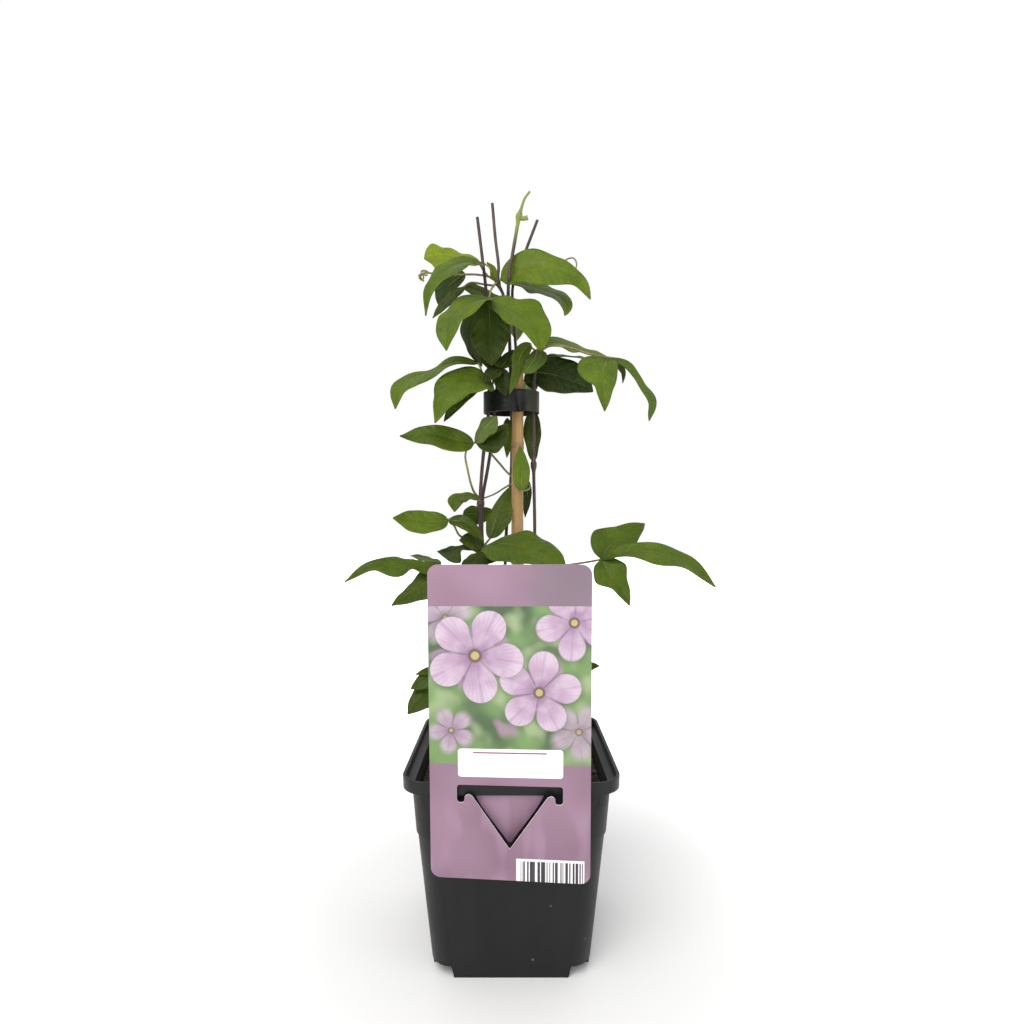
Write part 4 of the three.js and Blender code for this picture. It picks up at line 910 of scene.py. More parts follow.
def bamboo_cane():
    """Turned up from a disc: a straight length, swollen at its two joints and hollow on top."""
    bpy.ops.object.select_all(action="DESELECT")
    bpy.ops.mesh.primitive_circle_add(
        vertices=CANE_SIDES,
        radius=mm(CANE_RADIUS_BOTTOM),
        fill_type="NGON",
        location=mm(CANE_X, 0, CANE_BOTTOM),
    )
    cane = settle(bpy.context.object)

    def radius_at(height):
        share = (height - CANE_BOTTOM) / (CANE_TOP - CANE_BOTTOM)
        return CANE_RADIUS_BOTTOM + (CANE_RADIUS_TOP - CANE_RADIUS_BOTTOM) * share

    rings = [(CANE_BOTTOM, radius_at(CANE_BOTTOM))]
    for height in range(2 * CANE_BOTTOM, CANE_TOP, 12):
        if all(abs(height - joint) > JOINT_ROOM for joint in CANE_JOINTS):
            rings.append((height, radius_at(height)))
    for joint in CANE_JOINTS:
        rings += [(joint + above, radius_at(joint) + swell) for above, swell in JOINT_RINGS]
    rings += [(CANE_TOP - 0.3, radius_at(CANE_TOP)), (CANE_TOP, radius_at(CANE_TOP) - 0.3)]
    rings.sort()
    rings += [(CANE_TOP, 1.5), (CANE_TOP - 3, 1.25)]
    open_up(cane)
    for (height, radius), (next_height, next_radius) in zip(rings, rings[1:]):
        pick(
            cane,
            "FACE",
            lambda face: len(face.verts) == CANE_SIDES
            and face.normal.z > -0.5
            and abs(face.calc_center_median().z - mm(height)) < 1e-6,
        )
        bpy.ops.mesh.extrude_region_move(
            TRANSFORM_OT_translate={"value": mm(0, 0, next_height - height)}
        )
        share = next_radius / radius
        bpy.ops.transform.resize(
            value=(share, share, 1), center_override=mm(CANE_X, 0, next_height)
        )
    face_outwards(cane)
    for vertex in cane.data.vertices:
        vertex.co.x += math.sin(vertex.co.z * 26) * 0.00018
        vertex.co.y += math.cos(vertex.co.z * 19) * 0.00012
    settle(cane, "bamboo_cane")
    smooth(cane, 40)
    wear(cane, BAMBOO)
    stand_for(cane, "cane", "cane")


def binding_tape():
    """A loop of film round cane and stems, and its ends pinched and folded in front."""
    bpy.ops.object.select_all(action="DESELECT")
    bpy.ops.mesh.primitive_circle_add(
        vertices=72, radius=1, location=mm(0, TAPE_CENTRE_Y, TAPE_BOTTOM)
    )
    loop = bpy.context.object
    loop.scale = (mm(TAPE_HALF_WIDTH), mm(TAPE_HALF_DEPTH), 1)
    settle(loop)
    open_up(loop)
    pick(loop, "EDGE", lambda edge: True)
    for _ in range(5):
        bpy.ops.mesh.extrude_region_move(
            TRANSFORM_OT_translate={"value": mm(0, 0, TAPE_HEIGHT / 5)}
        )
    face_outwards(loop)
    for vertex in loop.data.vertices:
        x, y, z = (c * 1000 for c in vertex.co)
        front = 1 if y < TAPE_CENTRE_Y else 0
        ripple = 0.25 * noise.noise(Vector((x * 0.28, y * 0.28, z * 0.12)))
        vertex.co.y += mm(ripple)
        vertex.co.z += mm(0.35 * noise.noise(Vector((x * 0.12, y * 0.12, 5))) * front)
    apply(loop, "SOLIDIFY", thickness=mm(TAPE_THICKNESS), offset=-1)

    front_y = TAPE_CENTRE_Y - TAPE_HALF_DEPTH
    bpy.ops.object.select_all(action="DESELECT")
    bpy.ops.mesh.primitive_grid_add(x_subdivisions=18, y_subdivisions=12, size=1)
    ends = bpy.context.object
    for vertex in ends.data.vertices:
        s, t = vertex.co.x + 0.5, vertex.co.y + 0.5
        left = part_way(*ENDS_LEFT, 0, 1, t)
        right = part_way(*ENDS_RIGHT, 0, 1, t)
        x = part_way(left, right, 0, 1, s)
        low = -0.9 + 0.5 * s
        high = TAPE_HEIGHT - 0.2 - 0.9 * s
        z = TAPE_BOTTOM + part_way(low, high, 0, 1, t)
        ridge = math.exp(-(((s - 0.36) / 0.09) ** 2)) * 0.75
        hollow = math.exp(-(((s - 0.55) / 0.1) ** 2)) * 0.45
        raised = 0.55 + ridge - hollow + 0.35 * math.sin(math.pi * s)
        vertex.co = mm(x, front_y + 0.35 - raised, z)
    face_outwards(ends)
    apply(ends, "SOLIDIFY", thickness=mm(TAPE_THICKNESS), offset=0)
    tape = gather("binding_tape", [loop, ends])
    smooth(tape, 40)
    wear(tape, FILM)
    stand_for(tape, "tape", "tape")


def card_back(x, height):
    """The y of the card's back, which leans forwards and turns its lower right corner out."""
    face = -RIM_WIDTH / 2 - LABEL_GAP
    lean = math.tan(math.radians(LABEL_LEAN)) * (height - LEDGE_HEIGHT)
    from_top = (LABEL_BOTTOM + LABEL_HEIGHT - height) / LABEL_HEIGHT
    turn = math.tan(math.radians(LABEL_TWIST * from_top))
    from_left = x - LABEL_CENTRE_X + LABEL_WIDTH / 2
    return face - lean - turn * from_left


def slot_outline():
    """The slot with its end notches, the hooks beside them and the V below, from the left."""
    notch = NOTCH_WIDTH
    edge = [
        (SLOT_HALF_WIDTH - inwards, SLOT_TOP - drop)
        for inwards, drop in (
            (0, 0.8), (0, NOTCH_DROP - 1), (0.4, NOTCH_DROP - 0.3), (1.1, NOTCH_DROP),
            (notch - 0.7, NOTCH_DROP - 0.1), (notch - 0.2, NOTCH_DROP - 0.5),
            (notch, HOOK_DROP + 1), (notch + 0.6, HOOK_DROP + 0.3), (notch + 1.6, HOOK_DROP),
            (notch + 2.7, HOOK_DROP + 0.4), (notch + 3.4, HOOK_DROP + 1.2),
        )
    ]
    point = SLOT_TOP - TONGUE_DROP
    return [
        (-SLOT_HALF_WIDTH + 0.8, SLOT_TOP), *((-x, height) for x, height in edge),
        (-0.7, point + 0.8), (0, point), (0.7, point + 0.8), *edge[::-1],
        (SLOT_HALF_WIDTH - 0.8, SLOT_TOP),
    ]


def label_card():
    """The card with its slot punched out, twisted and leaning forwards."""
    half = LABEL_WIDTH / 2
    card = block(
        (LABEL_CENTRE_X - half, -LABEL_THICKNESS, LABEL_BOTTOM),
        (LABEL_CENTRE_X + half, 0, LABEL_BOTTOM + LABEL_HEIGHT),
    )
    open_up(card)
    pick(card, "EDGE", lambda edge: abs((edge.verts[0].co - edge.verts[1].co).y) > 1e-4)
    bpy.ops.mesh.bevel(offset=mm(LABEL_CORNER), segments=8, affect="EDGES")
    hold(card)
    outline = slot_outline()
    bpy.ops.object.select_all(action="DESELECT")
    bpy.ops.mesh.primitive_circle_add(vertices=len(outline), radius=mm(10), fill_type="NGON")
    punch = bpy.context.object
    for vertex, (x, height) in zip(punch.data.vertices, outline):
        vertex.co = mm(LABEL_CENTRE_X + x, -2, LABEL_BOTTOM + height)
    open_up(punch)
    bpy.ops.mesh.select_all(action="SELECT")
    bpy.ops.mesh.extrude_region_move(TRANSFORM_OT_translate={"value": mm(0, 4, 0)})
    face_outwards(punch)
    card = carve(card, "DIFFERENCE", punch)
    open_up(card)
    for height in range(8, 128, 8):
        bpy.ops.mesh.select_all(action="SELECT")
        bpy.ops.mesh.bisect(plane_co=mm(0, 0, LABEL_BOTTOM + height), plane_no=(0, 0, 1))
    for x in range(-28, 32, 8):
        bpy.ops.mesh.select_all(action="SELECT")
        bpy.ops.mesh.bisect(plane_co=mm(x, 0, 0), plane_no=(1, 0, 0))
    hold(card)
    lay_print(card, lambda co: (co.x * 1000 - LABEL_CENTRE_X, co.z * 1000 - LABEL_BOTTOM))
    for vertex in card.data.vertices:
        x, height = vertex.co.x * 1000, vertex.co.z * 1000
        vertex.co.y += mm(card_back(x, height))
    wear(card, PRINT, BARE_CARD)
    for face in card.data.polygons:
        face.material_index = 0 if face.normal.y < -0.8 else 1
    return card


def label_tongue():
    """The tongue: over the rim, down behind the band, through the slit and along the wall."""
    hinge = POT_HEIGHT + LABEL_GAP + LABEL_THICKNESS
    behind = -RIM_WIDTH / 2 + POT_WALL + LABEL_GAP
    tip = LABEL_BOTTOM + SLOT_TOP - TONGUE_DROP + 0.3
    lean = math.tan(math.radians(LABEL_LEAN))
    fold_y = card_back(LABEL_CENTRE_X, hinge)
    stations = [
        (TONGUE_HALF_WIDTH + 1, fold_y, hinge - 0.6),
        (TONGUE_HALF_WIDTH + 0.8, fold_y + 0.5, hinge - 0.1),
        (TONGUE_HALF_WIDTH + 0.5, -RIM_WIDTH / 2 + 0.8, hinge),
        (TONGUE_HALF_WIDTH + 0.4, behind + 0.3, hinge - 0.9),
        (TONGUE_HALF_WIDTH, behind + 0.55, hinge - 2),
        (TONGUE_HALF_WIDTH - 0.9, behind + 0.55, LEDGE_HEIGHT - 1),
        (0.6, behind + 0.55 + lean * (LEDGE_HEIGHT - tip), tip),
    ]
    path = smooth_path(stations, 2)
    bpy.ops.object.select_all(action="DESELECT")
    rows = len(path) - 1
    bpy.ops.mesh.primitive_grid_add(x_subdivisions=8, y_subdivisions=rows, size=1)
    tongue = bpy.context.object
    lay_print(
        tongue,
        lambda co: (
            2 * co.x * path[round((0.5 - co.y) * rows)].x,
            SLOT_TOP - (0.5 - co.y) * TONGUE_DROP,
        ),
    )
    for vertex in tongue.data.vertices:
        row = round((0.5 - vertex.co.y) * rows)
        half_width, y, z = path[row]
        x = LABEL_CENTRE_X + 2 * vertex.co.x * half_width
        # at the hinge it follows the twisted card, and farther down it hangs straight
        follow = max(0, 1 - row / 3)
        y += follow * (card_back(x, z) - card_back(LABEL_CENTRE_X, z) + 0.1)
        vertex.co = mm(x, y, z)
    wear(tongue, PRINT, BARE_CARD)
    apply(
        tongue,
        "SOLIDIFY",
        thickness=mm(LABEL_THICKNESS * 0.8),
        offset=0,
        material_offset=1,
        material_offset_rim=1,
    )
    return tongue


def hanging_label():
    label = gather("hanging_label", [label_card(), label_tongue()])
    smooth(label, 30)
    stand_for(label, "label", "label")


def lay_print(piece, flat_place):
    """Gives every corner its place on the flat print, from 0 to 1 across and up the card."""
    while piece.data.uv_layers:
        piece.data.uv_layers.remove(piece.data.uv_layers[0])
    layer = piece.data.uv_layers.new(name="print")
    for loop in piece.data.loops:
        x, height = flat_place(piece.data.vertices[loop.vertex_index].co)
        layer.data[loop.index].uv = (x / LABEL_WIDTH + 0.5, height / LABEL_HEIGHT)


# ---------------------------------------------------------------- stems

OLD_WOOD = [[-10, -3, 56], [-10, -3, 76], [-11, -3, 110], [-13.5, -2, 160], [-14.5, 0, 199]]
LEFT_FRONT_SHOOT = [
    [-14.5, 0, 197], [-14.5, -1, 203], [-13, -1, 223], [-11, 0.5, 239], [-10.5, 0.5, 250],
    [-11.5, 0, 280.5], [-12, 0, 299.5], [-13.5, 0, 313], [-16, 0, 333.5],
]
LEFT_BACK_SHOOT = [
    [-14.5, 0, 197], [-13.5, 2, 203], [-10, 2, 223], [-7.5, 1, 247], [-5, 1, 273.5],
    [-3.5, 1, 296], [-6.5, 1, 303.5], [-6, 1, 310], [-7.5, 1, 323.5], [-9, 1, 340.5],
]
MIDDLE_SHOOT = [
    [-4, 5, 56], [-4, 5, 76], [-3.5, 6, 130], [-2.5, 7, 184], [0, 7, 215], [0, 6.5, 248],
    [-0.5, 5, 266], [-1, 3, 281], [-1.5, -2, 294], [-1, -9, 303], [0.5, -8, 312.5],
    [3, -6, 328], [3.5, -6, 332],
]
TOP_TWIG = [[3.5, -6, 331], [5, -6, 336], [6, -6, 339], [8.5, -6, 342.5]]
TOP_BUD = [[3.5, -6, 331], [5.5, -6, 330], [7.5, -6, 330.5]]
BACK_SHOOT = [
    [3, 8, 56], [3, 8, 76], [4, 7.5, 160], [4.5, 7, 215], [3.5, 7.5, 248], [2, 7.5, 275.5],
    [0.5, 7.5, 296], [1, 8, 305.5], [7, 7, 321], [12.5, 6, 335],
]
RIGHT_SHOOT = [
    [9, 0, 56], [9, 0, 76], [10, -1, 130], [11, 0, 184], [10.5, 0, 216], [10.5, 0.5, 233.5],
    [10.5, 1, 250], [12, 0, 270],
]
LEFT_JOINTS = [(-7, 0.5, 303.5, 1.7), (-14.5, 0, 199, 1.9), (-11, 0.5, 257, 1.3),
               (-12.5, -2.3, 179, 1.8)]
MIDDLE_JOINTS = [(3.5, -6, 331, 1.5), (7.5, -6, 330.5, 1.2)]
RIGHT_JOINTS = [(10.7, 0, 217, 1.6), (12, 0, 269, 1.5), (10.8, -0.3, 170, 1.4)]
YOUNG_HEIGHTS = (316, 328)  # the shoot with the bud turns green between these


def shoot(points, radius, joints, tip_share=0.85, youth=None):
    """One stem: thick at its foot, swollen at its joints, a little crooked."""
    path = smooth_path(points, 1.6)
    total = len(path) - 1
    radii = []
    for i, place in enumerate(path):
        here = radius * (1 + (tip_share - 1) * i / total)
        here *= 1 + 0.08 * noise.noise(place * 0.3)
        for x, y, z, swell in joints:
            away = (place - Vector((x, y, z))).length
            here = max(here, here + (swell - here) * math.exp(-((away / 2.1) ** 2)))
        radii.append(here)
    stem = cane_like(path, radii)
    mark(stem, "youth", 0)
    if youth:
        low, high = youth
        field = stem.data.attributes["youth"]
        for vertex, entry in zip(stem.data.vertices, field.data):
            height = vertex.co.z * 1000
            entry.value = max(0, min(1, (height - low) / (high - low)))
    return stem


def stems():
    left = [
        shoot(OLD_WOOD, OLD_WOOD_RADIUS, LEFT_JOINTS, 1.0),
        shoot(LEFT_FRONT_SHOOT, STEM_RADIUS, LEFT_JOINTS),
        shoot(LEFT_BACK_SHOOT, STEM_RADIUS, LEFT_JOINTS),
    ]
    middle = [
        shoot(MIDDLE_SHOOT, STEM_RADIUS, MIDDLE_JOINTS, 1, YOUNG_HEIGHTS),
        shoot(TOP_TWIG, 0.75, MIDDLE_JOINTS, 0.7, YOUNG_HEIGHTS),
        shoot(TOP_BUD, 0.6, MIDDLE_JOINTS, 1, YOUNG_HEIGHTS),
    ]
    for name, node, parts in (
        ("left_stem", "stem_left", left),
        ("middle_stem", "stem_middle", middle),
        ("back_stem", "stem_back", [shoot(BACK_SHOOT, STEM_RADIUS, [])]),
        ("right_stem", "stem_right", [shoot(RIGHT_SHOOT, STEM_RADIUS, RIGHT_JOINTS)]),
    ):
        stem = gather(name, parts)
        wear(stem, BARK)
        stand_for(stem, "stem", node)


# ---------------------------------------------------------------- leaves


def leaflet(midrib, halves, face, fold, tone, curl=None, hook=0):
    """One blade: places on its midrib from its stalk to its tip, half its width to either side
    at each place between those two, the way its upper side looks, how far its halves fold up in
    degrees, how light it is from 0 to 1 (its own green, with painted shade on blades deep in the
    foliage and painted light on blades lit from behind), and how far its tip curls up and hooks
    sideways in degrees."""
    return {
        "midrib": [Vector(place) for place in midrib],
        "halves": halves,
        "face": Vector(face),
        "fold": math.radians(fold),
        "tone": tone,
        "curl": curl,
        "hook": math.radians(hook),
    }


# Every compound leaf: its name, the centre lines of its stalks, and its leaflets.
LEAVES = [
    ("leaf_01_top_left", [
        [[-7, 0.5, 303.5], [-9.5, 1.5, 305.5], [-11, 3.5, 307], [-17, 5, 308.5],
         [-23, 5, 308.5], [-32.5, 2, 307], [-38.5, -2, 306.5], [-41, -3, 306],
         [-42.5, -2, 304.5], [-41, -1, 303]],
        [[-9.5, 1.5, 305.5], [-10, -2.5, 308.5], [-12.5, -3, 310.5]],
        [[-11, 3.5, 307], [-14, 4, 311], [-15, 4, 313]],
        [[-38.5, -2, 306.5], [-40.5, -0.5, 308.2], [-42, -1.5, 307.6], [-41.5, -3.5, 306],
         [-40, -2.5, 305.2], [-39.5, -1, 306]],
        [[-41, -3, 306], [-43, -3.5, 304.8], [-42.2, -2, 303.2], [-40.8, -3, 303.8],
         [-41.2, -4, 305]],
        [[-7.7, 0.8, 304], [-8, 0, 304]],
    ], [
        leaflet([[-12.5, -3, 310], [-21, -8, 309], [-29, -14, 303.5], [-35.5, -18, 294.5],
                [-38, -22, 281]], [(9, 5), (9.5, 6), (3, 2.5)], [-0.35, -0.85, 0.4], 12, 0.45),
        leaflet([[-15, 4, 313], [-24, 7, 317], [-33, 8, 318.5], [-39, 7.5, 318],
                [-42, 7, 317]], [(5, 3.5), (8, 5.5), (9, 6)], [-0.1, -0.85, 0.5], 8, 0.95),
        leaflet([[-22, 5, 309], [-30.5, 8, 304], [-35, 9, 294.5]], [(4.5, 6.5)],
                [-0.2, -0.95, 0.2], 8, 0.1),
        leaflet([[-8, 0, 304], [-8.5, -1, 308.5], [-11.5, -2, 311.5]], [(1.5, 1.5)],
                [0.2, -0.9, 0.2], 8, 0.55),
    ]),
    ("leaf_02_top_right", [
        [[-7, 0.5, 303.5], [-4, 0.5, 304.5], [-3, 3.5, 305], [-2, 5, 305.5]],
        [[-4, 0.5, 304.5], [-4.5, -2, 303.5], [-5, -4, 302.5]],
        [[-2, 5, 305.5], [3, 4.5, 310.5], [8.5, 5, 314.5], [23, 6, 314], [27, 5, 316],
         [29.5, 4, 316], [31, 3, 313], [30.5, 4, 310]],
    ], [
        leaflet([[-5, -4, 302.5], [6, -8, 307], [20, -11, 305], [31, -12, 299],
                [37, -12, 291]], [(8, 10.5), (6.5, 11), (3, 4.5)], [0, -0.95, 0.35], 10, 0.62,
                hook=20),
        leaflet([[-2, 5, 305.5], [11, 3, 301.5], [22, -1, 296], [28.5, -4, 287.5]],
                [(8.5, 11), (7, 10)], [0, -0.5, 0.9], 8, 0.5, curl=-60, hook=30),
    ]),
    ("leaf_03_crown", [
        [[-7, 0.5, 303], [-8, -4, 300], [-9.5, -8, 296], [-10, -10, 292]],
    ], [
        leaflet([[-10, -10, 292], [-20, -16, 287], [-27, -22, 277.5], [-28, -26, 264]],
                [(16, 8), (8, 6.5)], [-0.5, -0.8, 0.35], 12, 0.55),
        leaflet([[-10, -10, 292], [-2, -14, 287], [4.5, -17, 282.5], [11, -19, 275],
                [13, -20, 265.5]], [(6.5, 9), (13, 10), (8, 8)], [0.4, -0.85, 0.35], 8, 0.6),
        leaflet([[-10, -10, 292], [-10, -9, 281.5], [-9.5, -9, 271], [-9, -9, 261.5]],
                [(9, 8), (8, 7.5)], [0, -1, 0.1], 8, 0.14),
    ]),
    ("leaf_04_crown_back", [
        [[-7, 0.5, 303], [-8.5, 4, 303], [-13, 5.5, 304], [-19.5, 6, 305], [-23, 5, 302.5]],
    ], [
        leaflet([[-23, 5, 302.5], [-13.5, 9, 301], [-1.5, 11, 296.5]], [(4, 7)],
                [0, -0.8, 0.6], 8, 0.35),
        leaflet([[-23, 5, 302.5], [-30.5, 1, 295], [-36.5, -3, 285]], [(5, 2.5)],
                [-0.3, -0.8, 0.5], 8, 0.2),
    ]),
    ("leaf_05_inner_left", [
        [[-12, 0, 294], [-13.5, 3, 292.5]],
    ], [
        leaflet([[-13.5, 3, 293], [-19, 3, 282.5], [-19, 2, 273], [-14.5, 1, 263.5]],
                [(7.5, 7), (7.5, 2.5)], [-0.6, -0.8, 0.1], 8, 0.08),
    ]),
    ("leaf_06_left", [
        [[-11, 0.5, 257], [-13.5, -2.5, 258], [-14, -4, 261], [-15.5, -5, 264]],
        [[-13.5, -2.5, 258], [-15.5, 1.5, 256.5], [-15, 5, 254.5]],
    ], [
        leaflet([[-15.5, -5, 263.5], [-25, -7, 264], [-37, -9, 259], [-47, -11, 254.5],
                [-51.5, -12, 249], [-53, -12, 241.5]], [(5, 4), (7, 2.5), (10.5, 4.5), (5, 4)],
                [-0.4, -0.65, 0.6], 8, 0.5),
        leaflet([[-15, 5, 255], [-23.5, 2, 248], [-31.5, -2, 237]], [(2.5, 4)],
                [0.1, -0.95, 0.2], 8, 0.15),
    ]),
    ("leaf_07_inner_low", [
        [[-6.5, 1, 261], [-5.5, -4.5, 261.5]],
    ], [
        leaflet([[-5.5, -4.5, 261.5], [-4.5, -6.5, 255.5], [-2.5, -8, 248]], [(4, 4.5)],
                [0.1, -1, 0.1], 22, 0.05),
        leaflet([[-5.5, -4.5, 261.5], [-9.5, -4.5, 265], [-14.5, -3, 269.5]], [(4, 3.5)],
                [0, -1, 0.2], 8, 0.1),
        leaflet([[-5.5, -4.5, 261.5], [-2, -3.5, 265.5], [1, -3, 270.5]], [(3, 3)],
                [0, -1, 0.2], 8, 0.12),
        leaflet([[-5.5, -4.5, 261.5], [-9, -10, 257.5], [-12.5, -13.5, 253]], [(3.5, 3.5)],
                [-0.2, -1, 0.2], 8, 0.05),
    ]),
    ("leaf_08_right_arm", [
        [[12, 0, 269], [17.5, -7, 271], [26, -12, 269], [34.5, -16, 265], [44.5, -19, 262.5]],
    ], [
        leaflet([[42.5, -18.5, 262.5], [39.5, -25, 255.5], [38.5, -30, 247], [39, -34, 237]],
                [(6.5, 11.5), (5, 3)], [-0.1, -0.9, 0.4], 8, 0.45),
        leaflet([[44, -19, 262.5], [51.5, -18, 259], [58, -16, 251.5], [62.5, -14, 243],
                [61.5, -12, 236]], [(2.5, 2.5), (2.5, 2.5), (4.5, 2.5)], [0.4, -0.7, 0.5], 6,
                0.4),
        leaflet([[44.5, -18.5, 262.5], [50, -14, 258], [50.5, -12, 253]], [(1.5, 1.5)],
                [0.2, -0.95, 0.2], 6, 0.15),
    ]),
    ("leaf_09_right_long", [
        [[12, 0, 269.5], [13.5, -1, 272], [14, 0, 273]],
    ], [
        leaflet([[14, 0, 273], [21, 2, 275], [31, 1, 272], [44.5, -4, 266.5]],
                [(6.5, 8), (6, 8)], [0.1, -0.5, 0.9], 6, 0.65),
    ]),
    ("leaf_10_right_low", [
        [[12, 0, 268.5], [15, 3, 268.5], [16.5, 5, 269.5]],
        [[15, 3, 268.5], [12.5, 4.5, 266.5], [9, 5, 263], [7.5, 5, 262]],
        [[7.7, 5, 262.2], [7.5, 6.5, 262.5]],
    ], [
        leaflet([[7.5, 5, 262], [18, 4.5, 261], [29.5, 4, 257], [39, 3, 252.5]],
                [(9, 9), (9, 6.5)], [0, -1, 0.2], 8, 0.04),
        leaflet([[16, 5, 269], [27, 7, 270], [38, 9, 269]], [(6.5, 6.5)], [0, -0.3, 1], 6, 0.35),
        leaflet([[7.5, 6.5, 262.5], [10, 9, 258.5], [11.5, 9.5, 253.5]], [(3.5, 3.5)],
                [0, -1, 0.1], 8, 0.03),
    ]),
    ("leaf_11_cane_top", [
        [[12, 0, 269], [11, -5, 269.5], [8.5, -6, 271.5], [9, -6, 272.5]],
        [[11, -4.9, 269.5], [12, -5, 270]],
    ], [
        leaflet([[9, -6, 272.5], [4.5, -8, 267], [2.5, -9, 259], [-1, -9, 248.5]],
                [(3.5, 4), (2.5, 2.5)], [0.3, -0.95, 0.1], 8, 0.3),
        leaflet([[12, -5, 270], [10.5, -10, 264.5], [5.5, -13, 256.5]], [(4, 5.5)],
                [0.3, 0.9, -0.2], 8, 0.5),
    ]),
    ("leaf_12_mid_left", [
        [[-14.5, 0, 201], [-17, 0, 203.5], [-18.5, -3.5, 207], [-20, -7, 214],
         [-21, -8.5, 221], [-19.5, -9, 224.5], [-16.5, -9, 226.5]],
    ], [
        leaflet([[-17, -9, 226], [-25.5, -12, 227.5], [-34.5, -15, 229.5], [-49.5, -16, 228]],
                [(7, 5.5), (6, 5)], [-0.1, -0.9, 0.4], 8, 0.3),
        leaflet([[-16.5, -9, 226.5], [-9.5, -8, 229.5], [-1.5, -9, 235]], [(3, 8.5)],
                [0.1, -0.9, 0.35], 8, 0.12),
        leaflet([[-16.5, -9, 226.5], [-13, -12, 231.5], [-9.5, -13, 235], [-6.5, -13, 238]],
                [(4, 3), (5, 4.5)], [0.3, 0.9, -0.3], 8, 0.6),
    ]),
    ("leaf_13_mid_right", [
        [[10.5, 0, 217], [10.5, 4, 219]],
    ], [
        leaflet([[10.5, 4, 219], [10, 6, 225], [10, 9, 235.5], [10.5, 14, 247.5]],
                [(3, 3), (4.5, 4.5)], [0.2, -0.95, -0.1], 8, 0.12),
    ]),
    ("leaf_14_round_cane", [
        [[-10, 2, 223], [-6, 3.5, 218.5], [-1, 4.2, 213], [3.5, 4.5, 210.5], [8, 3, 208.5],
         [8, -4, 205.5], [4.5, -7, 204.5]],
        [[3.5, 4.5, 210.5], [0, 4.5, 208.5], [-4, 3.5, 206], [-8, 2.5, 203.5],
         [-13, 1.5, 201.5]],
        [[7.2, 3.3, 208.8], [8, 4, 210]],
    ], [
        leaflet([[4.5, -7, 204.5], [4.5, -6, 214], [4, -6, 225]], [(4, 4)], [0, -1, 0.1], 8,
                0.5),
        leaflet([[8, 4, 210], [7.5, 5, 201], [6.5, 6, 192.5]], [(2, 2)], [0.2, -0.95, 0], 6,
                0.05),
    ]),
    ("leaf_15_low_cane", [
        [[-12.5, -2.3, 179.5], [-10, -4, 182.5]],
    ], [
        leaflet([[-10, -4, 182.5], [-6.5, 0, 194], [0, 3.5, 207.5]], [(4, 7.5)],
                [-0.3, -0.9, 0.3], 8, 0.25),
    ]),
    ("leaf_16_low_small", [
        [[-14.4, 0, 198], [-15.2, -5.5, 200.8]],
    ], [
        leaflet([[-15, -5.5, 201], [-20.5, -8, 202], [-25.5, -11, 200.5], [-25.5, -14, 195]],
                [(4.5, 3.5), (5.5, 3.5)], [-0.3, -0.7, 0.6], 8, 0.3),
    ]),
    ("leaf_17_low_left", [
        [[-14, -1.5, 181.5], [-18.5, -6.5, 182.5], [-23.5, -9, 184], [-26, -10, 188.5],
         [-28.5, -11, 191.5]],
        [[-28.5, -11, 191.5], [-25.5, -4, 192], [-22.5, 3, 193.5]],
    ], [
        leaflet([[-28.5, -11, 191], [-35.5, -13, 190.5], [-44.5, -15, 191], [-52.5, -17, 192]],
                [(6.5, 5.5), (6.5, 5.5)], [-0.1, -0.8, 0.6], 8, 0.55),
        leaflet([[-28.5, -11, 191], [-21, -13, 190], [-12.5, -14, 182]], [(3.5, 3.5)],
                [0, -0.8, 0.6], 8, 0.22),
        leaflet([[-23, 3, 194], [-15.5, 5, 194.5], [-8, 6, 195.5]], [(4, 6)], [0, -0.85, 0.5],
                8, 0.25),
    ]),
    ("leaf_18_low_left_under", [
        [[-12.5, -2.3, 178.5], [-14, -8, 176.5]],
        [[-13.8, -7.1, 176.8], [-14.5, -7, 177]],
    ], [
        leaflet([[-14.5, -7, 177], [-23, -8, 178.5], [-29, -10, 176.5], [-33.5, -12, 176.5]],
                [(2.5, 2.5), (10, 2.5)], [-0.1, -0.6, 0.8], 8, 0.15),
        leaflet([[-14, -7.5, 177], [-17, -9.5, 181.5], [-23.5, -12, 182]], [(5, 4.5)],
                [0, -0.8, 0.6], 8, 0.18),
    ]),
    ("leaf_19_low_front", [
        [[-12.5, -2.3, 178], [-10, -6, 174.5], [-8, -9, 173.5]],
        [[-8.1, -8.8, 173.6], [-8, -9, 174.5]],
    ], [
        leaflet([[-8, -9, 174.5], [-14.5, -18.5, 174.5], [-22, -28, 169]], [(8, 4.5)],
                [-0.1, -0.6, 0.8], 8, 0.15),
    ]),
    ("leaf_20_low_right_front", [
        [[-12.5, -2.3, 179], [-8.5, -9.5, 180], [-8.5, -9.5, 181]],
    ], [
        leaflet([[-8.5, -9.5, 181], [3, -22, 180], [14, -32, 176.5], [22.5, -40, 169]],
                [(10.5, 16), (7.5, 12)], [0.15, -0.65, 0.75], 8, 0.38),
    ]),
    ("leaf_21_left_arm", [
        [[-13.5, -2, 162], [-21, -12, 167.5], [-31.5, -20, 171.5]],
    ], [
        leaflet([[-31, -20, 172], [-37.5, -24, 171.5], [-43, -26.5, 172], [-48.5, -29, 171.5],
                [-58.5, -32, 172], [-69.5, -34, 165.5]],
                [(6, 2), (3, 3), (6.5, 5.5), (3, 2.5)], [-0.1, -0.75, 0.65], 8, 0.3, curl=-4),
        leaflet([[-31, -20, 172], [-38, -15, 174], [-45.5, -12, 175.5]], [(4.5, 2.5)],
                [0, -0.2, 0.95], 6, 0.3),
        leaflet([[-31.5, -20, 171.5], [-36.5, -27, 165], [-42.5, -32, 160], [-49.5, -36, 156]],
                [(10, 5.5), (6, 3.5)], [-0.2, -0.75, 0.6], 8, 0.25),
    ]),
    ("leaf_22_right_arm", [
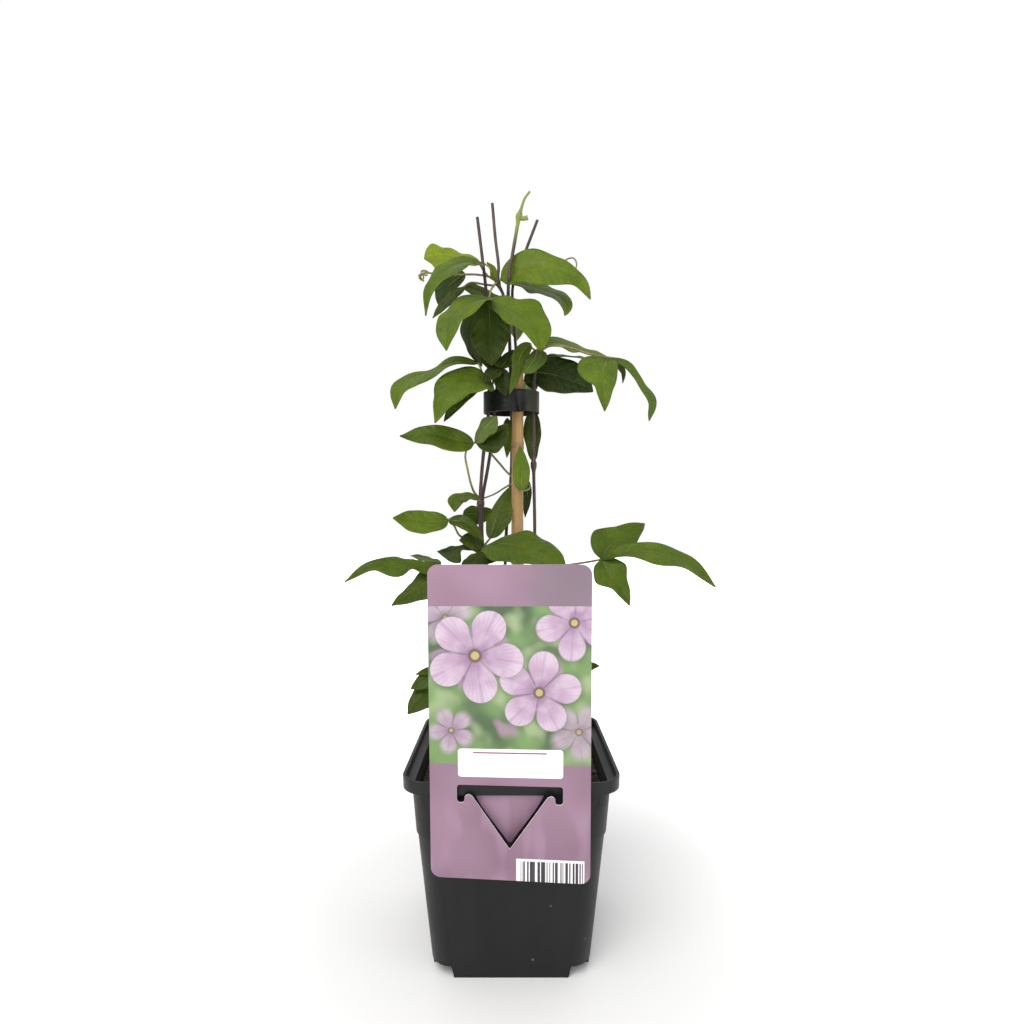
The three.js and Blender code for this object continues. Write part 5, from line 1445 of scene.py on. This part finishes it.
        [[10.8, -0.3, 170], [21.5, -11, 170.5], [32.5, -19, 172.5], [39, -23, 174]],
    ], [
        leaflet([[39, -23, 174], [42.5, -19, 179], [51, -13, 185], [61, -8, 189.5]],
                [(9, 6.5), (5, 7)], [0, -0.9, 0.45], 8, 0.32),
        leaflet([[39, -23, 174], [49, -26, 177.5], [61, -29, 177.5], [73.5, -33, 174],
                [85, -35, 163.5]], [(4, 3.5), (6, 8.5), (4, 6.5)], [0.05, -0.6, 0.8], 8, 0.38,
                curl=-4),
        leaflet([[39, -23, 174], [42, -26, 168.5], [46, -28, 162], [50, -30, 155]],
                [(7.5, 7.5), (4.5, 2.5)], [0, -0.95, 0.3], 8, 0.36),
    ]),
    ("leaf_23_base_left", [
        [[-11.5, -3, 122], [-20, -9, 126.5], [-28.5, -15, 124.5]],
    ], [
        leaflet([[-28.5, -15, 124.5], [-36, -19, 117], [-41, -21, 112], [-45, -23, 107]],
                [(10, 6.5), (6.5, 4)], [-0.4, -0.8, 0.5], 8, 0.22),
        leaflet([[-28.5, -15, 124.5], [-36.5, -19, 122], [-44, -21, 117.5]], [(5.5, 3.5)],
                [-0.3, -0.85, 0.4], 6, 0.25),
        leaflet([[-28.5, -15, 125], [-36, -18, 125], [-42, -20, 123.5]], [(2.5, 1.5)],
                [-0.2, -0.9, 0.4], 6, 0.28),
    ]),
    ("leaf_24_base_right", [
        [[10, -1, 131], [22, -6, 133], [27.5, -10, 129.5], [28.5, -10, 127.5]],
    ], [
        leaflet([[28.5, -10, 127.5], [34, -13, 125.5], [39, -16, 126.5]], [(2.5, 3.5)],
                [0.1, -0.8, 0.6], 8, 0.25),
    ]),
    ("leaf_25_back_top", [
        [[0.6, 7.5, 294], [3, 14, 294], [4, 20, 292]],
    ], [
        leaflet([[4, 20, 292], [9, 34, 294], [14, 45, 286]], [(7, 7)], [0.3, 0.2, 0.9], 8, 0.3),
        leaflet([[4, 20, 292], [-4, 33, 293], [-12, 44, 284]], [(7, 7)], [-0.3, 0.2, 0.9], 8,
                0.3),
        leaflet([[4, 20, 292], [3, 38, 298], [3, 55, 291]], [(7, 7)], [0, 0, 1], 8, 0.35),
    ]),
    ("leaf_26_back_middle", [
        [[2.7, 7.5, 262], [7, 16, 264], [9, 23, 262]],
    ], [
        leaflet([[9, 23, 262], [20, 36, 266], [30, 45, 261.5]], [(7, 7)], [0.3, 0.2, 0.9], 8,
                0.3),
        leaflet([[9, 23, 262], [2, 37, 262], [-4, 50, 253]], [(6, 6)], [-0.3, 0.2, 0.9], 8,
                0.35),
        leaflet([[9, 23, 262], [8, 41, 262], [8, 57, 252]], [(5, 5)], [0, 0.3, 0.9], 8, 0.3),
    ]),
    ("leaf_27_back_low", [
        [[4, 7.5, 158], [2, 16, 164], [0, 23, 164]],
    ], [
        leaflet([[0, 23, 164], [-14, 33, 166], [-28, 40, 156]], [(8, 8)], [-0.3, 0.2, 0.9], 8,
                0.3),
        leaflet([[0, 23, 164], [14, 34, 166], [27, 42, 157]], [(8, 8)], [0.3, 0.2, 0.9], 8,
                0.35),
        leaflet([[0, 23, 164], [0, 43, 165], [0, 60, 151]], [(7, 7)], [0, 0.3, 0.9], 8, 0.3),
    ]),
    ("leaf_28_under_tape", [
        [[0, 6.5, 236], [-2, 3.5, 239.5]],
    ], [
        leaflet([[-2, 3.5, 239.5], [-1.5, 1.5, 230.5], [-2, 1, 220.5]], [(2.5, 2.5)],
                [-0.2, -1, 0.1], 8, 0.3),
    ]),
    ("leaf_29_over_tape", [
        [[-7, 1, 256], [-8, -3.5, 257], [-8.5, -6.5, 254.5], [-8.5, -6.5, 253.5]],
    ], [
        leaflet([[-8.5, -6.5, 253.5], [-17.5, -12, 255], [-26.5, -17, 251], [-31, -21, 242.5],
                [-33, -24, 233]], [(15, 9.5), (12.5, 9), (6.5, 3)], [-0.35, -0.85, 0.4], 8, 0.5),
    ]),
]


def envelope(u):
    """How an egg-shaped blade narrows towards its stalk and its tip, at a share u of its
    length."""
    return u**0.55 * (1 - u) ** 0.85


def runs_along(path):
    """How far along the path each of its places lies."""
    runs = [0]
    for here, there in zip(path, path[1:]):
        runs.append(runs[-1] + (there - here).length)
    return runs


def fullness(part):
    """How full a blade is at each place where its width is given: the share of its length
    there, with its two half widths over the envelope."""
    runs = runs_along(part["midrib"])
    stops = []
    for run, pair in zip(runs[1:-1], part["halves"]):
        share = run / runs[-1]
        stops.append((share, [half / envelope(share) for half in pair]))
    return stops


def half_width(stops, u, side):
    """Half a blade's width at a share u of its length, to the side 0 or 1."""
    full = stops[0][1][side] if u < stops[0][0] else stops[-1][1][side]
    for (low, before), (high, after) in zip(stops, stops[1:]):
        if low <= u <= high:
            t = (u - low) / (high - low)
            full = before[side] + (after[side] - before[side]) * t * t * (3 - 2 * t)
    return max(0.3, full * envelope(u))


def in_equal_steps(path, count):
    """The same path as places an equal distance apart."""
    runs = runs_along(path)
    places = []
    at = 0
    for i in range(count + 1):
        wanted = runs[-1] * i / count
        while at < len(path) - 2 and runs[at + 1] < wanted:
            at += 1
        places.append(part_way(path[at], path[at + 1], runs[at], runs[at + 1], wanted))
    return places


def midrib(part):
    """Places, directions and upward normals along a blade's midrib, its tip curled."""
    curve = in_equal_steps(smooth_path(part["midrib"], 0.5), LEAFLET_ROWS)
    chord = (curve[-1] - curve[0]).normalized()
    upper = (part["face"] - chord * part["face"].dot(chord)).normalized()
    curl = part["curl"] if part["curl"] is not None else chance.uniform(-30, 25)
    rows = []
    place = curve[0]
    for row, on_curve in enumerate(curve):
        u = row / LEAFLET_ROWS
        before, after = curve[max(0, row - 1)], curve[min(LEAFLET_ROWS, row + 1)]
        along = (after - before).normalized()
        across = along.cross(upper).normalized()
        up = across.cross(along).normalized()
        near_tip = max(0, (u - 0.8) / 0.2) ** 1.5
        if near_tip:
            turned = near_tip * math.radians(curl)
            step = (on_curve - before).length
            heading = along * math.cos(turned) + up * math.sin(turned)
            up = (up * math.cos(turned) - along * math.sin(turned)).normalized()
            turned = near_tip * part["hook"]
            along = (heading * math.cos(turned) + across * math.sin(turned)).normalized()
            across = along.cross(up).normalized()
            place = place + along * step
        else:
            place = on_curve
        rows.append((u, place, across, up))
    return rows


def blade(template, part):
    """Lays a copy of the flat leaflet along its midrib and gives it its thickness."""
    piece = template.copy()
    piece.data = template.data.copy()
    bpy.context.collection.objects.link(piece)
    rows = midrib(part)
    stops = fullness(part)
    width, fold = 2 * max(max(pair) for pair in part["halves"]), part["fold"]
    phase = chance.uniform(0, 6.28)
    lean = chance.uniform(-0.03, 0.03)
    halves = piece.data.attributes.new("half_width", "FLOAT", "POINT")
    for vertex, entry in zip(piece.data.vertices, halves.data):
        u, place, across, up = rows[round((vertex.co.x + 0.5) * LEAFLET_ROWS)]
        v = -2 * vertex.co.y
        side = 1 if v > 0 else 0
        half = half_width(stops, u, side)
        half *= 1 + lean * (2 * side - 1)
        half *= 1 + 0.025 * math.sin(17 * u + phase)
        wave = 0.045 * width * math.sin(2.5 * math.pi * u + side) * v * v
        wave += 0.018 * width * math.sin(21 * u + phase + 2 * side) * abs(v) ** 3
        rise = abs(v) * half * math.sin(fold) * (1.15 - 0.3 * abs(v))
        rise += wave * (1 - u) * u * 4
        # the soft valley along the midrib
        rise -= 0.16 * math.exp(-((v * half / 0.9) ** 2)) * min(1, 6 * u, 6 * (1 - u))
        spot = place + across * (v * half * math.cos(fold)) + up * rise
        vertex.co = spot * 0.001
        entry.value = half
    mark(piece, "length", runs_along(part["midrib"])[-1])
    mark(piece, "tone", part["tone"])
    wear(piece, *LEAF_SKINS)
    apply(
        piece,
        "SOLIDIFY",
        thickness=mm(LEAFLET_THICKNESS),
        offset=0,
        material_offset=1,
    )
    bpy.ops.object.shade_smooth()
    rib_path = [place - up * 0.22 for u, place, across, up in rows[::2]]
    rib_radii = [0.34 * (1 - 0.75 * i / len(rib_path)) for i in range(len(rib_path))]
    rib = cane_like(rib_path, rib_radii, 1)
    return [piece, as_stalk(rib)]


def as_stalk(piece):
    """Makes a whole mesh stalk-skinned within its leaf."""
    wear(piece, *LEAF_SKINS)
    for face in piece.data.polygons:
        face.material_index = 2
    return piece


def leaf(template, name, stalks, leaflets):
    pieces = []
    for part in leaflets:
        pieces += blade(template, part)
    for number, points in enumerate(stalks):
        path = smooth_path(points, 1.2)
        total = len(path)
        start = STALK_RADIUS * (1.15 if number == 0 else 0.95)
        radii = [start * (1 - 0.25 * i / total) for i in range(total)]
        pieces.append(as_stalk(cane_like(path, radii)))
    stand_for(gather("clematis_" + name, pieces), "leaf", name)


def leaves():
    bpy.ops.object.select_all(action="DESELECT")
    bpy.ops.mesh.primitive_grid_add(
        x_subdivisions=LEAFLET_ROWS, y_subdivisions=LEAFLET_COLUMNS, size=1
    )
    template = settle(bpy.context.object)
    for entry in LEAVES:
        leaf(template, *entry)
    bpy.data.objects.remove(template)


# ---------------------------------------------------------------- the whole

camera()
studio()
POLYPROPYLENE = moulded_polypropylene()
COMPOST = peat_compost()
BAMBOO = dry_bamboo()
FILM = soft_vinyl_film()
PRINT = printed_card()
BARE_CARD = bare_card()
BARK = young_bark()
LEAF_SKINS = (
    leaf_blade("clematis leaf, upper side", True),
    leaf_blade("clematis leaf, underside", False),
    leaf_stalk(),
)

bpy.ops.object.select_all(action="DESELECT")
bpy.ops.mesh.primitive_plane_add(size=6, location=(0, 0, 0))
floor = settle(bpy.context.object, "pale_floor")
wear(floor, pale_matt_board())

nursery_pot()
compost()
bamboo_cane()
binding_tape()
hanging_label()
stems()
leaves()
